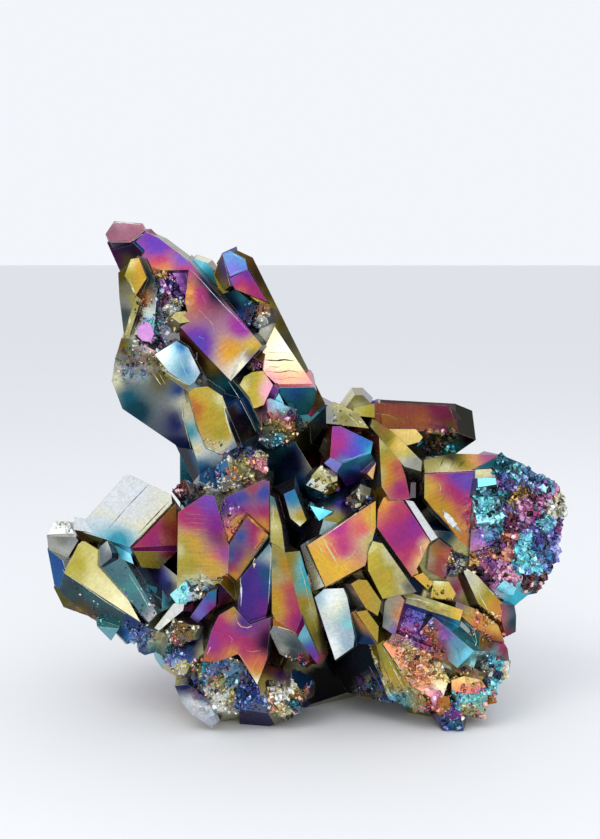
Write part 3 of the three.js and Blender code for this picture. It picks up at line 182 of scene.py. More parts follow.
FILM_TOP_RIGHT = {
    "second crystal, top": [
        (-7.7, 38.1, 0.17, 0.36), (-7.7, 37.4, 0.17, 0.40), (-7.0, 36.5, 0.10, 0.62),
        (-6.9, 38.9, 0.80, 0.62), (-6.9, 37.7, 0.67, 0.56), (-6.2, 38.0, 0.69, 0.58),
        (-5.5, 38.7, 0.82, 0.60), (-6.5, 37.6, 0.66, 0.64), (-6.2, 37.2, 0.62, 0.56),
        (-4.9, 37.5, 0.66, 0.46), (-5.6, 36.7, 0.46, 0.48), (-4.7, 36.6, 0.50, 0.45),
        (-5.5, 36.3, 0.34, 0.46), (-4.6, 35.7, 0.30, 0.46), (-6.6, 36.6, 0.30, 0.44),
        (-6.3, 36.3, 0.20, 0.32),
    ],
    "second crystal, right edge": [
        (-4.0, 37.0, 0.30, 0.10), (-3.4, 35.8, 0.20, 0.12), (-2.8, 34.6, 0.20, 0.16),
        (-2.3, 33.3, 0.20, 0.17), (-1.8, 32.2, 0.10, 0.14),
    ],
    # The darkest marks here are painted shade between the two crystals.
    "second crystal, waist": [
        (-5.5, 35.5, 0.90, 0.32), (-6.2, 34.8, 0.78, 0.08), (-4.9, 34.4, 0.76, 0.10),
        (-5.4, 34.1, 0.75, 0.56), (-4.8, 35.3, 0.88, 0.44), (-4.2, 35.2, 0.17, 0.66),
        (-3.8, 34.9, 0.30, 0.34), (-3.4, 33.6, 0.02, 0.50), (-4.3, 32.9, 0.80, 0.20),
        (-3.3, 33.1, 0.02, 0.44), (-3.8, 32.1, 0.04, 0.36), (-3.8, 30.6, 0.30, 0.24),
    ],
    "sliver between": [
        (-9.3, 38.9, 0.08, 0.66), (-9.2, 38.2, 0.90, 0.74), (-8.9, 38.0, 0.88, 0.50),
        (-8.5, 37.5, 0.88, 0.28), (-8.3, 38.4, 0.20, 0.30), (-8.4, 37.0, 0.80, 0.16),
        (-7.9, 36.2, 0.78, 0.07),
    ],
    "banded face": [
        (-1.9, 31.1, 0.05, 0.70), (-2.2, 29.7, 0.08, 0.70), (-1.2, 29.8, 0.08, 0.70),
        (-2.2, 29.0, 0.38, 0.70), (-1.2, 29.0, 0.36, 0.70), (-2.9, 28.6, 0.45, 0.70),
        (-0.2, 28.3, 0.42, 0.70), (-2.2, 28.1, 0.44, 0.70),
    ],
    "pit": [
        (-4.7, 30.5, 0.56, 0.30), (-4.2, 30.1, 0.52, 0.30), (-4.1, 29.7, 0.50, 0.36),
        (-5.3, 30.1, 0.04, 0.66), (-5.4, 29.4, 0.76, 0.42), (-4.8, 29.5, 0.10, 0.34),
        (-4.6, 30.9, 0.10, 0.22),
    ],
    "olive block": [
        (-4.9, 28.8, 0.16, 0.46), (-5.1, 28.1, 0.10, 0.54), (-4.6, 28.0, 0.20, 0.46),
        (-4.3, 27.2, 0.16, 0.50),
    ],
    "pink and cyan ends": [
        (-3.3, 27.6, 0.50, 0.80), (-3.3, 27.0, 0.52, 0.76), (-3.0, 27.7, 0.60, 0.56),
        (-3.1, 26.6, 0.52, 0.66), (-2.5, 27.4, 0.95, 0.72), (-2.2, 26.8, 0.92, 0.76),
        (-2.0, 26.3, 0.95, 0.84), (-2.8, 26.7, 0.94, 0.74),
    ],
    "teal end": [
        (-0.6, 27.3, 0.77, 0.45), (0.1, 26.6, 0.84, 0.43), (0.4, 26.8, 1.08, 0.40), (-0.6, 25.9, 0.87, 0.43),
        (-1.1, 26.0, 1.08, 0.42), (-0.2, 25.4, 0.95, 0.42), (0.2, 25.9, 1.08, 0.42),
        (-0.7, 25.2, 0.97, 0.38),
    ],
    # The lowest marks of these sides are painted shade beneath the teal end.
    "teal end, sides": [
        (0.9, 27.0, 0.40, 0.14), (1.0, 26.3, 0.30, 0.12), (1.1, 25.6, 0.05, 0.10), (0.4, 25.2, 0.50, 0.36),
        (-1.4, 25.6, 0.50, 0.30), (0.2, 24.5, 0.05, 0.24), (0.6, 23.9, 0.05, 0.14), (-0.3, 24.2, 0.10, 0.10),
        (0.2, 23.3, 0.10, 0.08),
    ],
    "olive lump": [
        (-3.9, 26.1, 0.17, 0.34), (-2.3, 25.7, 0.36, 0.40), (-1.5, 25.5, 0.46, 0.40),
        (-3.9, 25.1, 0.07, 0.38), (-2.2, 25.0, 0.18, 0.48), (-1.4, 24.8, 0.28, 0.52),
        (-3.0, 24.2, 0.14, 0.33), (-1.4, 23.5, 0.17, 0.38), (-0.9, 24.4, 0.25, 0.38),
        (-2.5, 23.7, 0.94, 0.62), (-2.1, 22.5, 0.92, 0.28), (-0.6, 23.4, 0.15, 0.20),
    ],
    # The low tones in this gap are painted shade under the lump.
    "gap under the lump": [
        (-1.4, 21.8, 0.76, 0.10), (-0.6, 21.2, 0.77, 0.20), (0.4, 22.0, 0.40, 0.07),
        (-1.8, 20.8, 0.77, 0.22), (-3.0, 21.6, 0.92, 0.24), (0.5, 23.2, 0.05, 0.05), (1.2, 23.8, 0.88, 0.14),
        (1.5, 22.6, 0.06, 0.26), (1.0, 24.5, 0.88, 0.14),
    ],
    "ledge": [
        (-6.1, 23.2, 0.80, 0.44), (-4.7, 23.2, 0.77, 0.20), (-3.9, 22.6, 0.09, 0.50),
        (-3.2, 22.9, 1.10, 0.70), (-3.8, 22.3, 0.45, 0.60), (-6.1, 22.2, 0.04, 0.50),
        (-6.1, 21.7, 0.28, 0.46), (-5.4, 21.7, 0.13, 0.56), (-6.9, 20.3, 0.03, 0.56),
        (-10.4, 18.8, 1.10, 0.24), (-4.3, 20.5, 0.40, 0.42),
    ],
    "boulder": [
        (0.4, 21.2, 0.05, 0.30), (1.2, 21.0, 0.16, 0.48), (2.0, 20.4, 0.17, 0.46), (1.2, 19.8, 0.05, 0.52),
        (0.0, 20.3, 0.85, 0.50), (-0.3, 19.9, 0.84, 0.56), (1.2, 19.2, 0.86, 0.38), (2.2, 19.0, 0.90, 0.30),
    ],
    "purple roof": [
        (2.1, 24.6, 0.38, 0.42), (2.2, 23.0, 0.46, 0.42), (2.7, 23.6, 0.50, 0.50), (3.4, 22.7, 0.60, 0.48),
        (4.3, 22.9, 0.68, 0.50), (4.9, 23.6, 0.77, 0.50), (5.4, 22.9, 0.94, 0.52), (3.4, 22.3, 0.88, 0.46),
    ],
    "blue wall": [
        (3.4, 21.8, 0.85, 0.38), (4.9, 22.3, 0.93, 0.36), (4.1, 21.3, 0.77, 0.42), (4.5, 20.7, 0.66, 0.36),
        (3.5, 20.3, 0.62, 0.38), (4.0, 20.1, 0.56, 0.32),
    ],
    "violet chip": [
        (2.0, 22.1, 0.70, 0.66), (1.9, 21.7, 0.66, 0.62), (2.4, 21.9, 0.74, 0.66), (2.3, 21.5, 0.66, 0.58),
        (1.5, 21.4, 0.08, 0.76),
    ],
    "orange chip": [
        (5.5, 21.9, 0.46, 0.68), (5.4, 21.3, 0.28, 0.68), (5.2, 20.9, 0.30, 0.50), (4.9, 20.5, 0.32, 0.40),
        (5.0, 20.1, 0.05, 0.40),
    ],
    "saddle": [
        (6.0, 23.9, 0.40, 0.50), (6.3, 23.5, 0.12, 0.52), (6.3, 22.8, 0.17, 0.50), (6.3, 21.2, 0.10, 0.58),
        (7.0, 21.5, 0.29, 0.50), (6.9, 20.8, 0.30, 0.48), (7.6, 21.5, 0.46, 0.50), (7.7, 20.1, 0.52, 0.51),
        (6.1, 20.1, 0.05, 0.34), (5.8, 21.5, 0.05, 0.34),
    ],
    "shoulder of grey facets": [
        (2.0, 25.8, 0.02, 0.29), (3.4, 25.8, 0.15, 0.34), (3.4, 25.4, 0.12, 0.41), (5.3, 24.3, 0.30, 0.36),
        (4.1, 24.6, 0.36, 0.25), (1.4, 26.4, 0.12, 0.27), (7.0, 24.0, 0.15, 0.28), (9.1, 22.2, 0.03, 0.29),
        (8.8, 21.8, 0.03, 0.32), (8.5, 21.1, 0.03, 0.43), (9.0, 20.6, 0.04, 0.20), (9.4, 19.9, 0.95, 0.09),
        (4.8, 19.8, 0.05, 0.31),
    ],
    "small crystals on the shoulder": [
        (3.7, 26.8, 0.12, 0.59), (3.6, 26.4, 0.12, 0.62), (4.3, 27.2, 0.16, 0.35), (4.9, 27.0, 0.10, 0.22),
        (4.5, 26.3, 0.11, 0.52), (5.2, 26.4, 0.16, 0.47), (4.8, 25.9, 0.13, 0.45), (5.5, 26.0, 0.18, 0.40),
        (4.3, 25.9, 0.12, 0.35), (4.8, 25.4, 0.12, 0.50), (5.1, 25.1, 0.70, 0.12), (5.5, 24.9, 0.10, 0.34),
        (6.0, 24.6, 0.12, 0.30),
    ],
    "far crystal": [
        (5.9, 26.1, 0.39, 0.35), (9.4, 26.0, 0.40, 0.35), (11.4, 26.0, 0.45, 0.32), (6.6, 25.4, 0.30, 0.37),
        (9.8, 25.3, 0.36, 0.37), (12.4, 25.3, 0.48, 0.29), (6.4, 24.8, 0.36, 0.33), (7.4, 24.8, 0.35, 0.35),
        (9.8, 24.7, 0.37, 0.37), (12.0, 24.5, 0.48, 0.30), (12.7, 24.6, 0.20, 0.21),
        (13.6, 24.6, 0.12, 0.08), (13.4, 24.2, 0.10, 0.08), (13.9, 23.8, 0.15, 0.08),
        (13.9, 23.4, 0.36, 0.08),
    ],
    # The high tone on this face is a painted reflection, not the film's own lightness.
    "far crystal, face with a painted reflection": [
        (9.3, 24.2, 0.205, 0.62), (7.8, 23.9, 0.205, 0.62), (8.6, 23.8, 0.205, 0.62),
        (7.7, 23.5, 0.205, 0.62), (8.4, 23.3, 0.205, 0.62), (9.0, 23.6, 0.205, 0.62),
        (9.4, 23.6, 0.205, 0.62),
    ],
    "far crystal, bumpy underside": [
        (9.5, 22.9, 0.86, 0.26), (11.7, 23.7, 0.15, 0.20), (13.1, 22.9, 0.95, 0.56),
        (12.4, 22.2, 0.10, 0.08), (13.4, 23.3, 0.25, 0.20), (9.2, 22.9, 0.04, 0.42),
    ],
}

FILM_LEFT = {
    # The pale silver of this block is a painted reflection of the sky on its face.
    "white block": [
        (-16.3, 19.1, 0.00, 0.73), (-18.3, 17.2, 0.00, 0.68), (-15.2, 18.3, 0.00, 0.68),
        (-14.2, 19.6, 0.00, 0.71), (-11.5, 19.2, 0.05, 0.71), (-14.2, 17.8, 0.02, 0.69),
        (-13.4, 17.6, 0.05, 0.66), (-11.5, 18.7, 0.05, 0.64),
    ],
    "white block, end": [
        (-11.1, 18.2, 0.20, 0.58), (-12.5, 17.0, 0.46, 0.50), (-11.1, 16.2, 0.38, 0.50),
        (-11.6, 15.8, 0.40, 0.66), (-12.4, 15.8, 0.50, 0.49), (-11.6, 15.3, 0.56, 0.50),
        (-11.1, 15.3, 0.56, 0.44), (-13.3, 15.3, 0.50, 0.42), (-11.1, 14.9, 0.50, 0.36),
    ],
    "white block, foot": [
        (-13.2, 14.9, 0.17, 0.42), (-12.4, 14.2, 0.16, 0.42), (-11.7, 14.6, 0.48, 0.42),
        (-12.0, 14.0, 0.08, 0.46), (-11.2, 14.4, 0.40, 0.16),
    ],
    # The dark marks under the block are painted shade.
    "white block, underside": [
        (-18.3, 16.2, 0.30, 0.16), (-17.7, 16.1, 0.10, 0.10), (-16.9, 16.2, 0.05, 0.12),
        (-17.1, 15.6, 0.30, 0.12),
    ],
    "left tips": [
        (-20.3, 17.0, 0.03, 0.56), (-20.9, 16.4, 0.02, 0.82), (-20.2, 16.3, 0.02, 0.82),
        (-20.3, 15.8, 0.02, 0.26), (-20.9, 15.3, 0.02, 0.40), (-20.2, 14.8, 0.03, 0.44),
        (-20.0, 14.2, 0.05, 0.62), (-20.9, 12.6, 0.80, 0.46), (-20.6, 13.7, 0.78, 0.44),
        (-19.9, 13.9, 0.04, 0.84),
    ],
    "left gold face": [
        (-19.5, 14.0, 0.16, 0.47), (-18.6, 13.7, 0.165, 0.49), (-17.8, 13.8, 0.12, 0.48),
        (-17.1, 14.4, 0.08, 0.45), (-17.5, 12.5, 0.10, 0.49), (-14.9, 10.6, 0.08, 0.50),
    ],
    "left dark face": [
        (-20.2, 12.4, 1.10, 0.30), (-19.6, 12.2, 1.10, 0.22), (-20.2, 11.4, 1.10, 0.22),
        (-17.5, 10.9, 1.10, 0.30), (-16.9, 9.7, 1.10, 0.22), (-16.0, 9.8, 1.10, 0.30),
        (-15.6, 9.3, 1.10, 0.23),
    ],
    "left underside": [
        (-20.5, 10.6, 0.16, 0.26), (-19.9, 10.0, 0.20, 0.26), (-19.4, 9.7, 0.25, 0.24),
        (-18.6, 9.6, 0.20, 0.22),
    ],
    "speckled crystal": [
        (-16.1, 15.6, 0.02, 0.60), (-16.8, 15.3, 1.10, 0.37), (-16.0, 15.0, 1.10, 0.33),
        (-15.7, 14.8, 1.10, 0.29), (-16.1, 14.2, 1.10, 0.37), (-15.6, 14.0, 1.10, 0.37),
        (-16.3, 13.4, 1.10, 0.32), (-13.3, 11.9, 1.10, 0.34), (-14.0, 10.8, 1.10, 0.37),
        (-13.4, 11.0, 1.10, 0.37), (-13.2, 10.4, 1.10, 0.29), (-13.9, 10.1, 1.10, 0.34),
    ],
    "pale shard": [
        (-15.3, 16.2, 0.92, 0.50), (-14.9, 15.8, 0.94, 0.78), (-14.8, 15.3, 0.92, 0.82),
        (-14.6, 14.9, 0.93, 0.84), (-15.4, 15.5, 0.88, 0.40), (-15.2, 15.0, 0.88, 0.36),
    ],
    # The near-black marks are painted shade inside the pocket.
    "pocket": [
        (-14.2, 13.9, 0.72, 0.06), (-12.6, 13.0, 0.70, 0.04), (-12.6, 12.2, 0.64, 0.16),
        (-11.8, 12.4, 0.77, 0.62), (-12.7, 11.2, 0.86, 0.44), (-12.7, 10.6, 0.02, 0.46),
        (-11.3, 12.2, 0.76, 0.14), (-11.4, 13.6, 0.60, 0.06), (-11.6, 10.3, 0.78, 0.14),
        (-12.4, 10.0, 0.80, 0.26),
    ],
    "fragments under the left": [
        (-16.7, 8.7, 0.97, 0.80), (-14.6, 9.2, 0.76, 0.34), (-13.7, 9.2, 0.68, 0.14),
        (-13.9, 8.3, 0.77, 0.56), (-13.5, 8.0, 0.80, 0.54), (-14.6, 8.0, 0.80, 0.56),
        (-14.7, 7.4, 0.82, 0.62), (-13.6, 7.4, 0.80, 0.40), (-15.4, 7.9, 0.80, 0.20),
        (-15.6, 7.3, 0.78, 0.14), (-13.6, 6.7, 0.85, 0.36),
    ],
    "pale splinter": [
        (-12.4, 9.9, 0.02, 0.72), (-11.7, 10.1, 0.97, 0.78), (-11.0, 10.6, 0.96, 0.80),
        (-10.4, 11.2, 0.97, 0.82), (-9.9, 11.5, 0.95, 0.70), (-12.8, 9.3, 0.03, 0.60),
        (-12.0, 9.5, 0.03, 0.42), (-11.6, 9.7, 0.03, 0.60),
    ],
    "grey ledge": [
        (-10.7, 12.6, 0.07, 0.52), (-9.5, 12.6, 0.92, 0.44), (-8.8, 12.4, 0.03, 0.46),
        (-8.2, 12.7, 0.03, 0.42), (-7.6, 12.8, 0.05, 0.44), (-10.3, 13.0, 0.12, 0.50),
        (-9.4, 13.1, 0.10, 0.56), (-8.4, 13.1, 0.05, 0.46), (-9.0, 11.4, 0.02, 0.56),
        (-9.4, 10.6, 0.40, 0.60), (-7.3, 12.9, 0.16, 0.48), (-6.6, 12.9, 0.28, 0.66),
        (-7.8, 12.3, 0.86, 0.46),
    ],
    "violet sliver": [
        (-8.9, 10.2, 0.69, 0.64), (-8.4, 10.8, 0.73, 0.62), (-7.8, 11.8, 0.84, 0.52),
        (-9.3, 9.2, 0.67, 0.60), (-7.8, 10.6, 0.50, 0.44), (-8.1, 9.9, 0.55, 0.46),
    ],
    "dark triangle": [
        (-7.0, 12.2, 0.62, 0.18), (-7.2, 11.4, 0.56, 0.22), (-6.5, 11.4, 0.56, 0.24),
        (-7.3, 10.8, 0.50, 0.24), (-6.4, 10.9, 0.52, 0.16),
    ],
    "lumps by the fang": [
        (-12.5, 8.9, 0.08, 0.50), (-12.1, 7.7, 0.04, 0.58), (-12.7, 7.3, 0.05, 0.50),
        (-11.5, 7.6, 0.06, 0.42), (-10.0, 8.7, 0.26, 0.26), (-9.5, 8.3, 0.22, 0.34),
        (-11.5, 7.2, 0.95, 0.28), (-12.8, 6.2, 0.88, 0.42), (-9.1, 8.4, 0.04, 0.62), (-8.9, 7.9, 0.03, 0.60),
        (-9.3, 7.4, 0.80, 0.16), (-9.3, 6.8, 0.78, 0.22), (-10.0, 6.6, 0.80, 0.50),
    ],
    "grey crust of the foot": [
        (-12.1, 6.2, 0.90, 0.50), (-10.7, 6.3, 0.80, 0.56), (-11.9, 5.6, 0.95, 0.50),
        (-10.4, 5.8, 0.04, 0.56), (-11.0, 5.1, 0.10, 0.54), (-9.9, 6.0, 0.13, 0.52), (-8.7, 5.7, 0.10, 0.52),
        (-9.6, 4.7, 0.80, 0.30), (-10.0, 4.3, 0.76, 0.24), (-10.7, 4.4, 0.04, 0.60),
    ],
    "bare chip": [
        (-9.4, 2.8, 0.00, 0.76), (-8.5, 2.4, 0.00, 0.78), (-8.8, 3.3, 0.70, 0.26), (-8.3, 2.9, 0.72, 0.28),
        (-9.4, 4.1, 0.74, 0.22),
    ],
    "blue crust of the foot": [
        (-8.2, 5.9, 0.86, 0.48), (-7.7, 3.0, 0.02, 0.58), (-7.3, 5.9, 0.82, 0.46), (-6.9, 4.9, 0.15, 0.50),
        (-6.2, 3.2, 0.13, 0.52), (-6.3, 5.0, 0.85, 0.42), (-5.5, 3.4, 0.80, 0.44), (-5.2, 2.8, 0.78, 0.46),
        (-4.6, 3.6, 0.78, 0.42), (-4.5, 2.8, 0.79, 0.46), (-7.1, 2.3, 0.03, 0.58), (-4.4, 1.5, 0.70, 0.24),
        (-6.4, 1.0, 0.05, 0.44),
    ],
    "right end of the foot": [
        (-3.4, 4.3, 0.15, 0.46), (-1.9, 3.1, 0.03, 0.72), (-2.1, 4.4, 0.64, 0.24), (-0.9, 4.1, 0.03, 0.62),
        (-0.6, 3.4, 0.25, 0.32), (-0.9, 2.3, 0.90, 0.28), (-1.6, 1.5, 0.10, 0.70),
    ],
}

FILM_CENTRE = {
    "fan, ribbed face": [
        (-7.9, 19.2, 0.66, 0.54), (-9.4, 18.1, 0.47, 0.51), (-9.4, 15.7, 0.23, 0.53),
        (-10.4, 15.4, 0.11, 0.54), (-7.2, 14.8, 0.40, 0.58), (-6.8, 15.0, 0.62, 0.54),
        (-7.9, 14.4, 0.22, 0.52), (-9.5, 14.0, 0.17, 0.50), (-7.4, 14.0, 0.20, 0.54),
        (-9.6, 13.4, 0.12, 0.53), (-7.2, 17.2, 0.58, 0.48),
    ],
    "white pits": [
        (-7.0, 18.9, 0.04, 0.50), (-6.8, 18.4, 0.70, 0.18), (-6.5, 18.9, 0.66, 0.30),
        (-6.7, 17.1, 0.50, 0.56), (-6.2, 18.8, 0.56, 0.66), (-6.9, 19.5, 0.04, 0.46),
        (-7.7, 20.0, 0.03, 0.56), (-6.9, 16.4, 0.64, 0.30), (-6.5, 17.4, 0.55, 0.60),
    ],
    "chevron face": [
        (-5.3, 19.5, 0.80, 0.40), (-3.6, 20.0, 0.78, 0.42), (-6.0, 19.0, 0.70, 0.40),
        (-5.2, 18.4, 0.50, 0.44), (-4.6, 18.1, 0.28, 0.48), (-3.5, 18.1, 0.50, 0.42),
        (-3.6, 17.6, 0.28, 0.46), (-4.2, 17.8, 0.24, 0.50), (-6.3, 17.2, 0.48, 0.40),
        (-6.0, 17.5, 0.26, 0.50), (-6.6, 16.5, 0.34, 0.46),
    ],
    "chevron rim": [
        (-6.4, 16.6, 0.24, 0.56), (-6.0, 17.1, 0.26, 0.58), (-5.6, 17.6, 0.27, 0.57),
        (-5.2, 17.9, 0.22, 0.52),
    ],
    "chevron point": [
        (-5.2, 17.6, 0.66, 0.42), (-4.0, 17.0, 0.46, 0.44), (-5.9, 16.8, 0.40, 0.50),
        (-5.1, 16.5, 0.82, 0.42), (-6.2, 15.0, 0.84, 0.40), (-5.6, 14.8, 0.58, 0.42),
        (-4.4, 16.4, 0.48, 0.46), (-6.1, 13.8, 0.48, 0.40), (-4.9, 14.3, 0.22, 0.46),
        (-6.3, 13.4, 0.34, 0.50), (-5.9, 13.3, 0.24, 0.46), (-3.5, 16.5, 0.24, 0.56),
        (-3.2, 16.7, 0.36, 0.44),
    ],
    "cream bar": [
        (-4.3, 13.9, 0.62, 0.38),
    ],
    "violet tongue": [
        (-3.4, 15.5, 0.90, 0.40), (-3.6, 14.1, 0.80, 0.40), (-4.9, 12.5, 0.68, 0.36),
        (-4.2, 12.4, 0.60, 0.44), (-3.5, 12.4, 0.68, 0.42), (-4.6, 11.8, 0.68, 0.38),
        (-3.5, 10.9, 0.58, 0.44), (-4.9, 10.4, 0.67, 0.38), (-5.1, 9.9, 0.68, 0.42), (-5.2, 9.6, 0.70, 0.44),
    ],
    "small gold tip": [
        (-6.0, 13.0, 0.30, 0.48), (-5.7, 12.6, 0.12, 0.46), (-5.9, 12.1, 0.10, 0.42),
        (-6.3, 12.4, 0.16, 0.46), (-5.9, 11.4, 0.14, 0.44), (-6.2, 11.0, 0.22, 0.40),
        (-5.8, 10.7, 0.17, 0.44), (-5.6, 12.9, 0.03, 0.50),
    ],
    "blade, olive side": [
        (-2.7, 20.0, 0.88, 0.22), (-2.6, 19.2, 0.90, 0.26), (-2.7, 18.4, 0.10, 0.36),
        (-2.6, 17.6, 0.10, 0.44), (-2.6, 15.2, 0.11, 0.42), (-2.8, 14.4, 0.90, 0.30),
        (-2.6, 13.6, 0.10, 0.46), (-2.4, 10.4, 0.15, 0.48), (-2.5, 17.9, 0.17, 0.48),
        (-3.1, 16.0, 0.90, 0.18), (-3.1, 15.0, 0.03, 0.44), (-3.1, 13.6, 0.88, 0.34),
        (-3.0, 12.4, 0.90, 0.26),
    ],
    "blade, front": [
        (-2.1, 15.6, 0.15, 0.46), (-1.2, 15.0, 0.15, 0.44), (-2.1, 14.6, 0.16, 0.46),
        (-1.8, 14.3, 0.25, 0.46), (-1.2, 14.2, 0.16, 0.44), (-1.2, 13.2, 0.18, 0.44),
        (-1.3, 12.0, 0.44, 0.48), (-2.2, 11.5, 0.22, 0.50), (-1.3, 11.0, 0.46, 0.50),
        (-2.1, 10.4, 0.27, 0.52), (-1.2, 10.0, 0.48, 0.50), (-0.7, 9.4, 0.52, 0.46), (-0.7, 8.7, 0.56, 0.50),
        (-2.2, 9.3, 0.30, 0.50),
    ],
    "blade, right side": [
        (-0.3, 10.8, 0.20, 0.44), (0.3, 10.2, 0.10, 0.46), (-0.1, 9.6, 0.16, 0.42), (1.2, 7.2, 0.12, 0.34),
        (1.4, 6.0, 0.40, 0.26), (0.9, 10.6, 0.14, 0.16), (1.6, 7.4, 0.14, 0.14), (0.6, 11.3, 0.14, 0.22),
    ],
    "cyan triangle and violet end": [
        (-0.1, 8.2, 0.90, 0.70), (0.1, 7.8, 0.84, 0.60), (0.2, 7.3, 0.68, 0.52), (0.7, 6.5, 0.60, 0.52),
        (0.9, 6.1, 0.54, 0.50), (0.5, 6.0, 0.40, 0.40), (1.0, 5.6, 0.36, 0.46), (1.1, 5.2, 0.10, 0.44),
    ],
    "fang": [
        (-6.1, 9.9, 0.28, 0.52), (-7.2, 9.7, 0.48, 0.50), (-6.4, 9.4, 0.56, 0.50), (-6.1, 8.1, 0.51, 0.50),
        (-7.7, 7.8, 0.57, 0.52), (-6.4, 7.7, 0.46, 0.52), (-5.2, 7.4, 0.48, 0.50), (-6.1, 7.3, 0.26, 0.52),
        (-3.8, 6.3, 0.40, 0.52), (-3.9, 5.6, 0.30, 0.50), (-4.0, 4.6, 0.06, 0.84),
    ],
    "fang, olive rim": [
        (-7.9, 9.6, 0.14, 0.40), (-8.4, 8.0, 0.12, 0.42), (-8.5, 7.2, 0.12, 0.44), (-8.5, 6.7, 0.08, 0.50),
        (-7.6, 10.1, 0.17, 0.44), (-8.2, 6.6, 0.34, 0.46), (-8.0, 9.8, 0.30, 0.10),
    ],
    "hollow behind the fang": [
        (-3.1, 7.8, 0.60, 0.12), (-1.7, 6.8, 0.02, 0.62), (-1.3, 7.2, 0.95, 0.20), (-1.5, 5.7, 0.84, 0.14),
        (-1.3, 5.1, 0.72, 0.14), (-2.8, 5.0, 0.36, 0.26), (-1.7, 4.9, 0.25, 0.40), (-3.3, 4.6, 0.45, 0.16),
        (0.1, 4.2, 0.80, 0.40),
    ],
    "small crystals above the block": [
        (-0.9, 19.3, 0.86, 0.50), (-0.4, 17.6, 0.18, 0.44), (-0.6, 17.0, 0.05, 0.66),
        (-0.3, 19.2, 0.80, 0.10), (-0.1, 18.4, 0.80, 0.12), (1.4, 17.9, 0.92, 0.72), (1.6, 17.6, 0.94, 0.48),
        (3.0, 18.4, 0.68, 0.46), (-0.3, 15.8, 0.76, 0.32), (2.6, 17.4, 0.13, 0.46), (5.4, 19.4, 0.78, 0.22),
    ],
    "banded block": [
        (-0.3, 15.0, 0.02, 0.91), (0.0, 14.6, 0.04, 0.89), (0.3, 14.0, 0.08, 0.85), (1.1, 12.5, 0.11, 0.81),
        (0.2, 15.2, 0.14, 0.55), (1.4, 14.6, 0.20, 0.50), (1.5, 16.0, 0.20, 0.53), (1.9, 16.4, 0.50, 0.53),
        (2.3, 15.2, 0.36, 0.48), (2.8, 15.4, 0.53, 0.50), (3.1, 14.8, 0.52, 0.50), (4.8, 16.8, 0.45, 0.51),
        (5.5, 17.3, 0.20, 0.50), (3.2, 14.3, 0.20, 0.53), (2.6, 14.0, 0.20, 0.50), (4.5, 13.5, 0.18, 0.58),
        (3.0, 12.5, 0.20, 0.52), (5.9, 19.3, 0.15, 0.58), (2.4, 16.9, 0.54, 0.50), (3.9, 13.0, 0.19, 0.56),
        (1.7, 12.2, 0.16, 0.57),
    ],
    "banded block, left side": [
        (-0.3, 14.0, 0.95, 0.56), (0.0, 13.2, 0.96, 0.50), (0.3, 12.4, 0.03, 0.56), (0.6, 11.7, 0.02, 0.64),
        (0.9, 12.2, 0.03, 0.66), (0.1, 12.6, 0.97, 0.44),
    ],
    "magenta block": [
        (6.1, 19.2, 0.20, 0.56), (6.6, 19.0, 0.28, 0.54), (8.4, 18.6, 0.50, 0.46), (7.7, 18.1, 0.46, 0.47),
        (9.2, 17.0, 0.58, 0.48), (8.2, 15.9, 0.53, 0.46), (9.0, 16.0, 0.55, 0.48), (9.8, 16.0, 0.54, 0.49),
        (8.8, 15.0, 0.48, 0.47), (8.6, 14.2, 0.48, 0.48), (9.1, 14.4, 0.42, 0.50), (10.1, 15.3, 0.20, 0.68),
        (9.5, 14.0, 0.18, 0.70), (9.2, 13.0, 0.28, 0.56),
    ],
    "magenta block, lower left side": [
        (6.4, 15.6, 0.08, 0.36), (6.8, 14.9, 0.05, 0.36), (7.4, 14.2, 0.05, 0.36), (7.8, 13.4, 0.05, 0.36),
        (8.4, 12.8, 0.05, 0.38), (8.3, 12.2, 0.78, 0.20), (9.2, 11.5, 0.78, 0.12),
    ],
    "white bar": [
        (8.7, 18.8, 0.02, 0.66), (9.0, 18.2, 0.01, 0.76), (9.8, 16.9, 0.01, 0.76), (10.2, 16.3, 0.02, 0.78),
        (9.6, 18.6, 0.84, 0.16), (10.2, 17.7, 0.84, 0.14), (10.8, 16.8, 0.84, 0.14),
    ],
    "big gold face": [
        (5.4, 15.9, 0.09, 0.45), (5.3, 15.2, 0.09, 0.51), (5.3, 14.5, 0.20, 0.50), (6.0, 14.7, 0.20, 0.48),
        (5.4, 13.0, 0.30, 0.48), (6.9, 13.2, 0.20, 0.48), (7.6, 13.2, 0.09, 0.41), (6.9, 11.8, 0.18, 0.52),
        (7.6, 11.9, 0.09, 0.47), (8.7, 11.7, 0.09, 0.55), (6.2, 11.3, 0.17, 0.54),
    ],
    "gold fingers": [
        (4.0, 12.0, 0.34, 0.52), (5.2, 11.0, 0.26, 0.50), (5.5, 10.6, 0.22, 0.52), (5.8, 10.9, 0.13, 0.54),
        (4.6, 9.1, 0.30, 0.50), (5.2, 8.8, 0.26, 0.50), (5.7, 9.0, 0.14, 0.52), (3.9, 11.4, 0.04, 0.40),
        (3.5, 11.3, 0.84, 0.28), (4.2, 8.6, 0.88, 0.30), (4.8, 7.7, 0.82, 0.26), (5.0, 12.8, 0.40, 0.06),
        (3.5, 12.3, 0.90, 0.14),
    ],
    "pale window": [
        (1.2, 11.3, 1.10, 0.56), (1.9, 7.1, 0.02, 0.64), (1.9, 11.3, 0.02, 0.64), (2.4, 7.4, 0.02, 0.64),
        (2.7, 10.4, 0.08, 0.60), (3.1, 7.6, 1.10, 0.56), (3.1, 10.2, 1.10, 0.56), (3.4, 9.2, 1.10, 0.56),
        (2.1, 6.6, 0.02, 0.58),
    ],
}

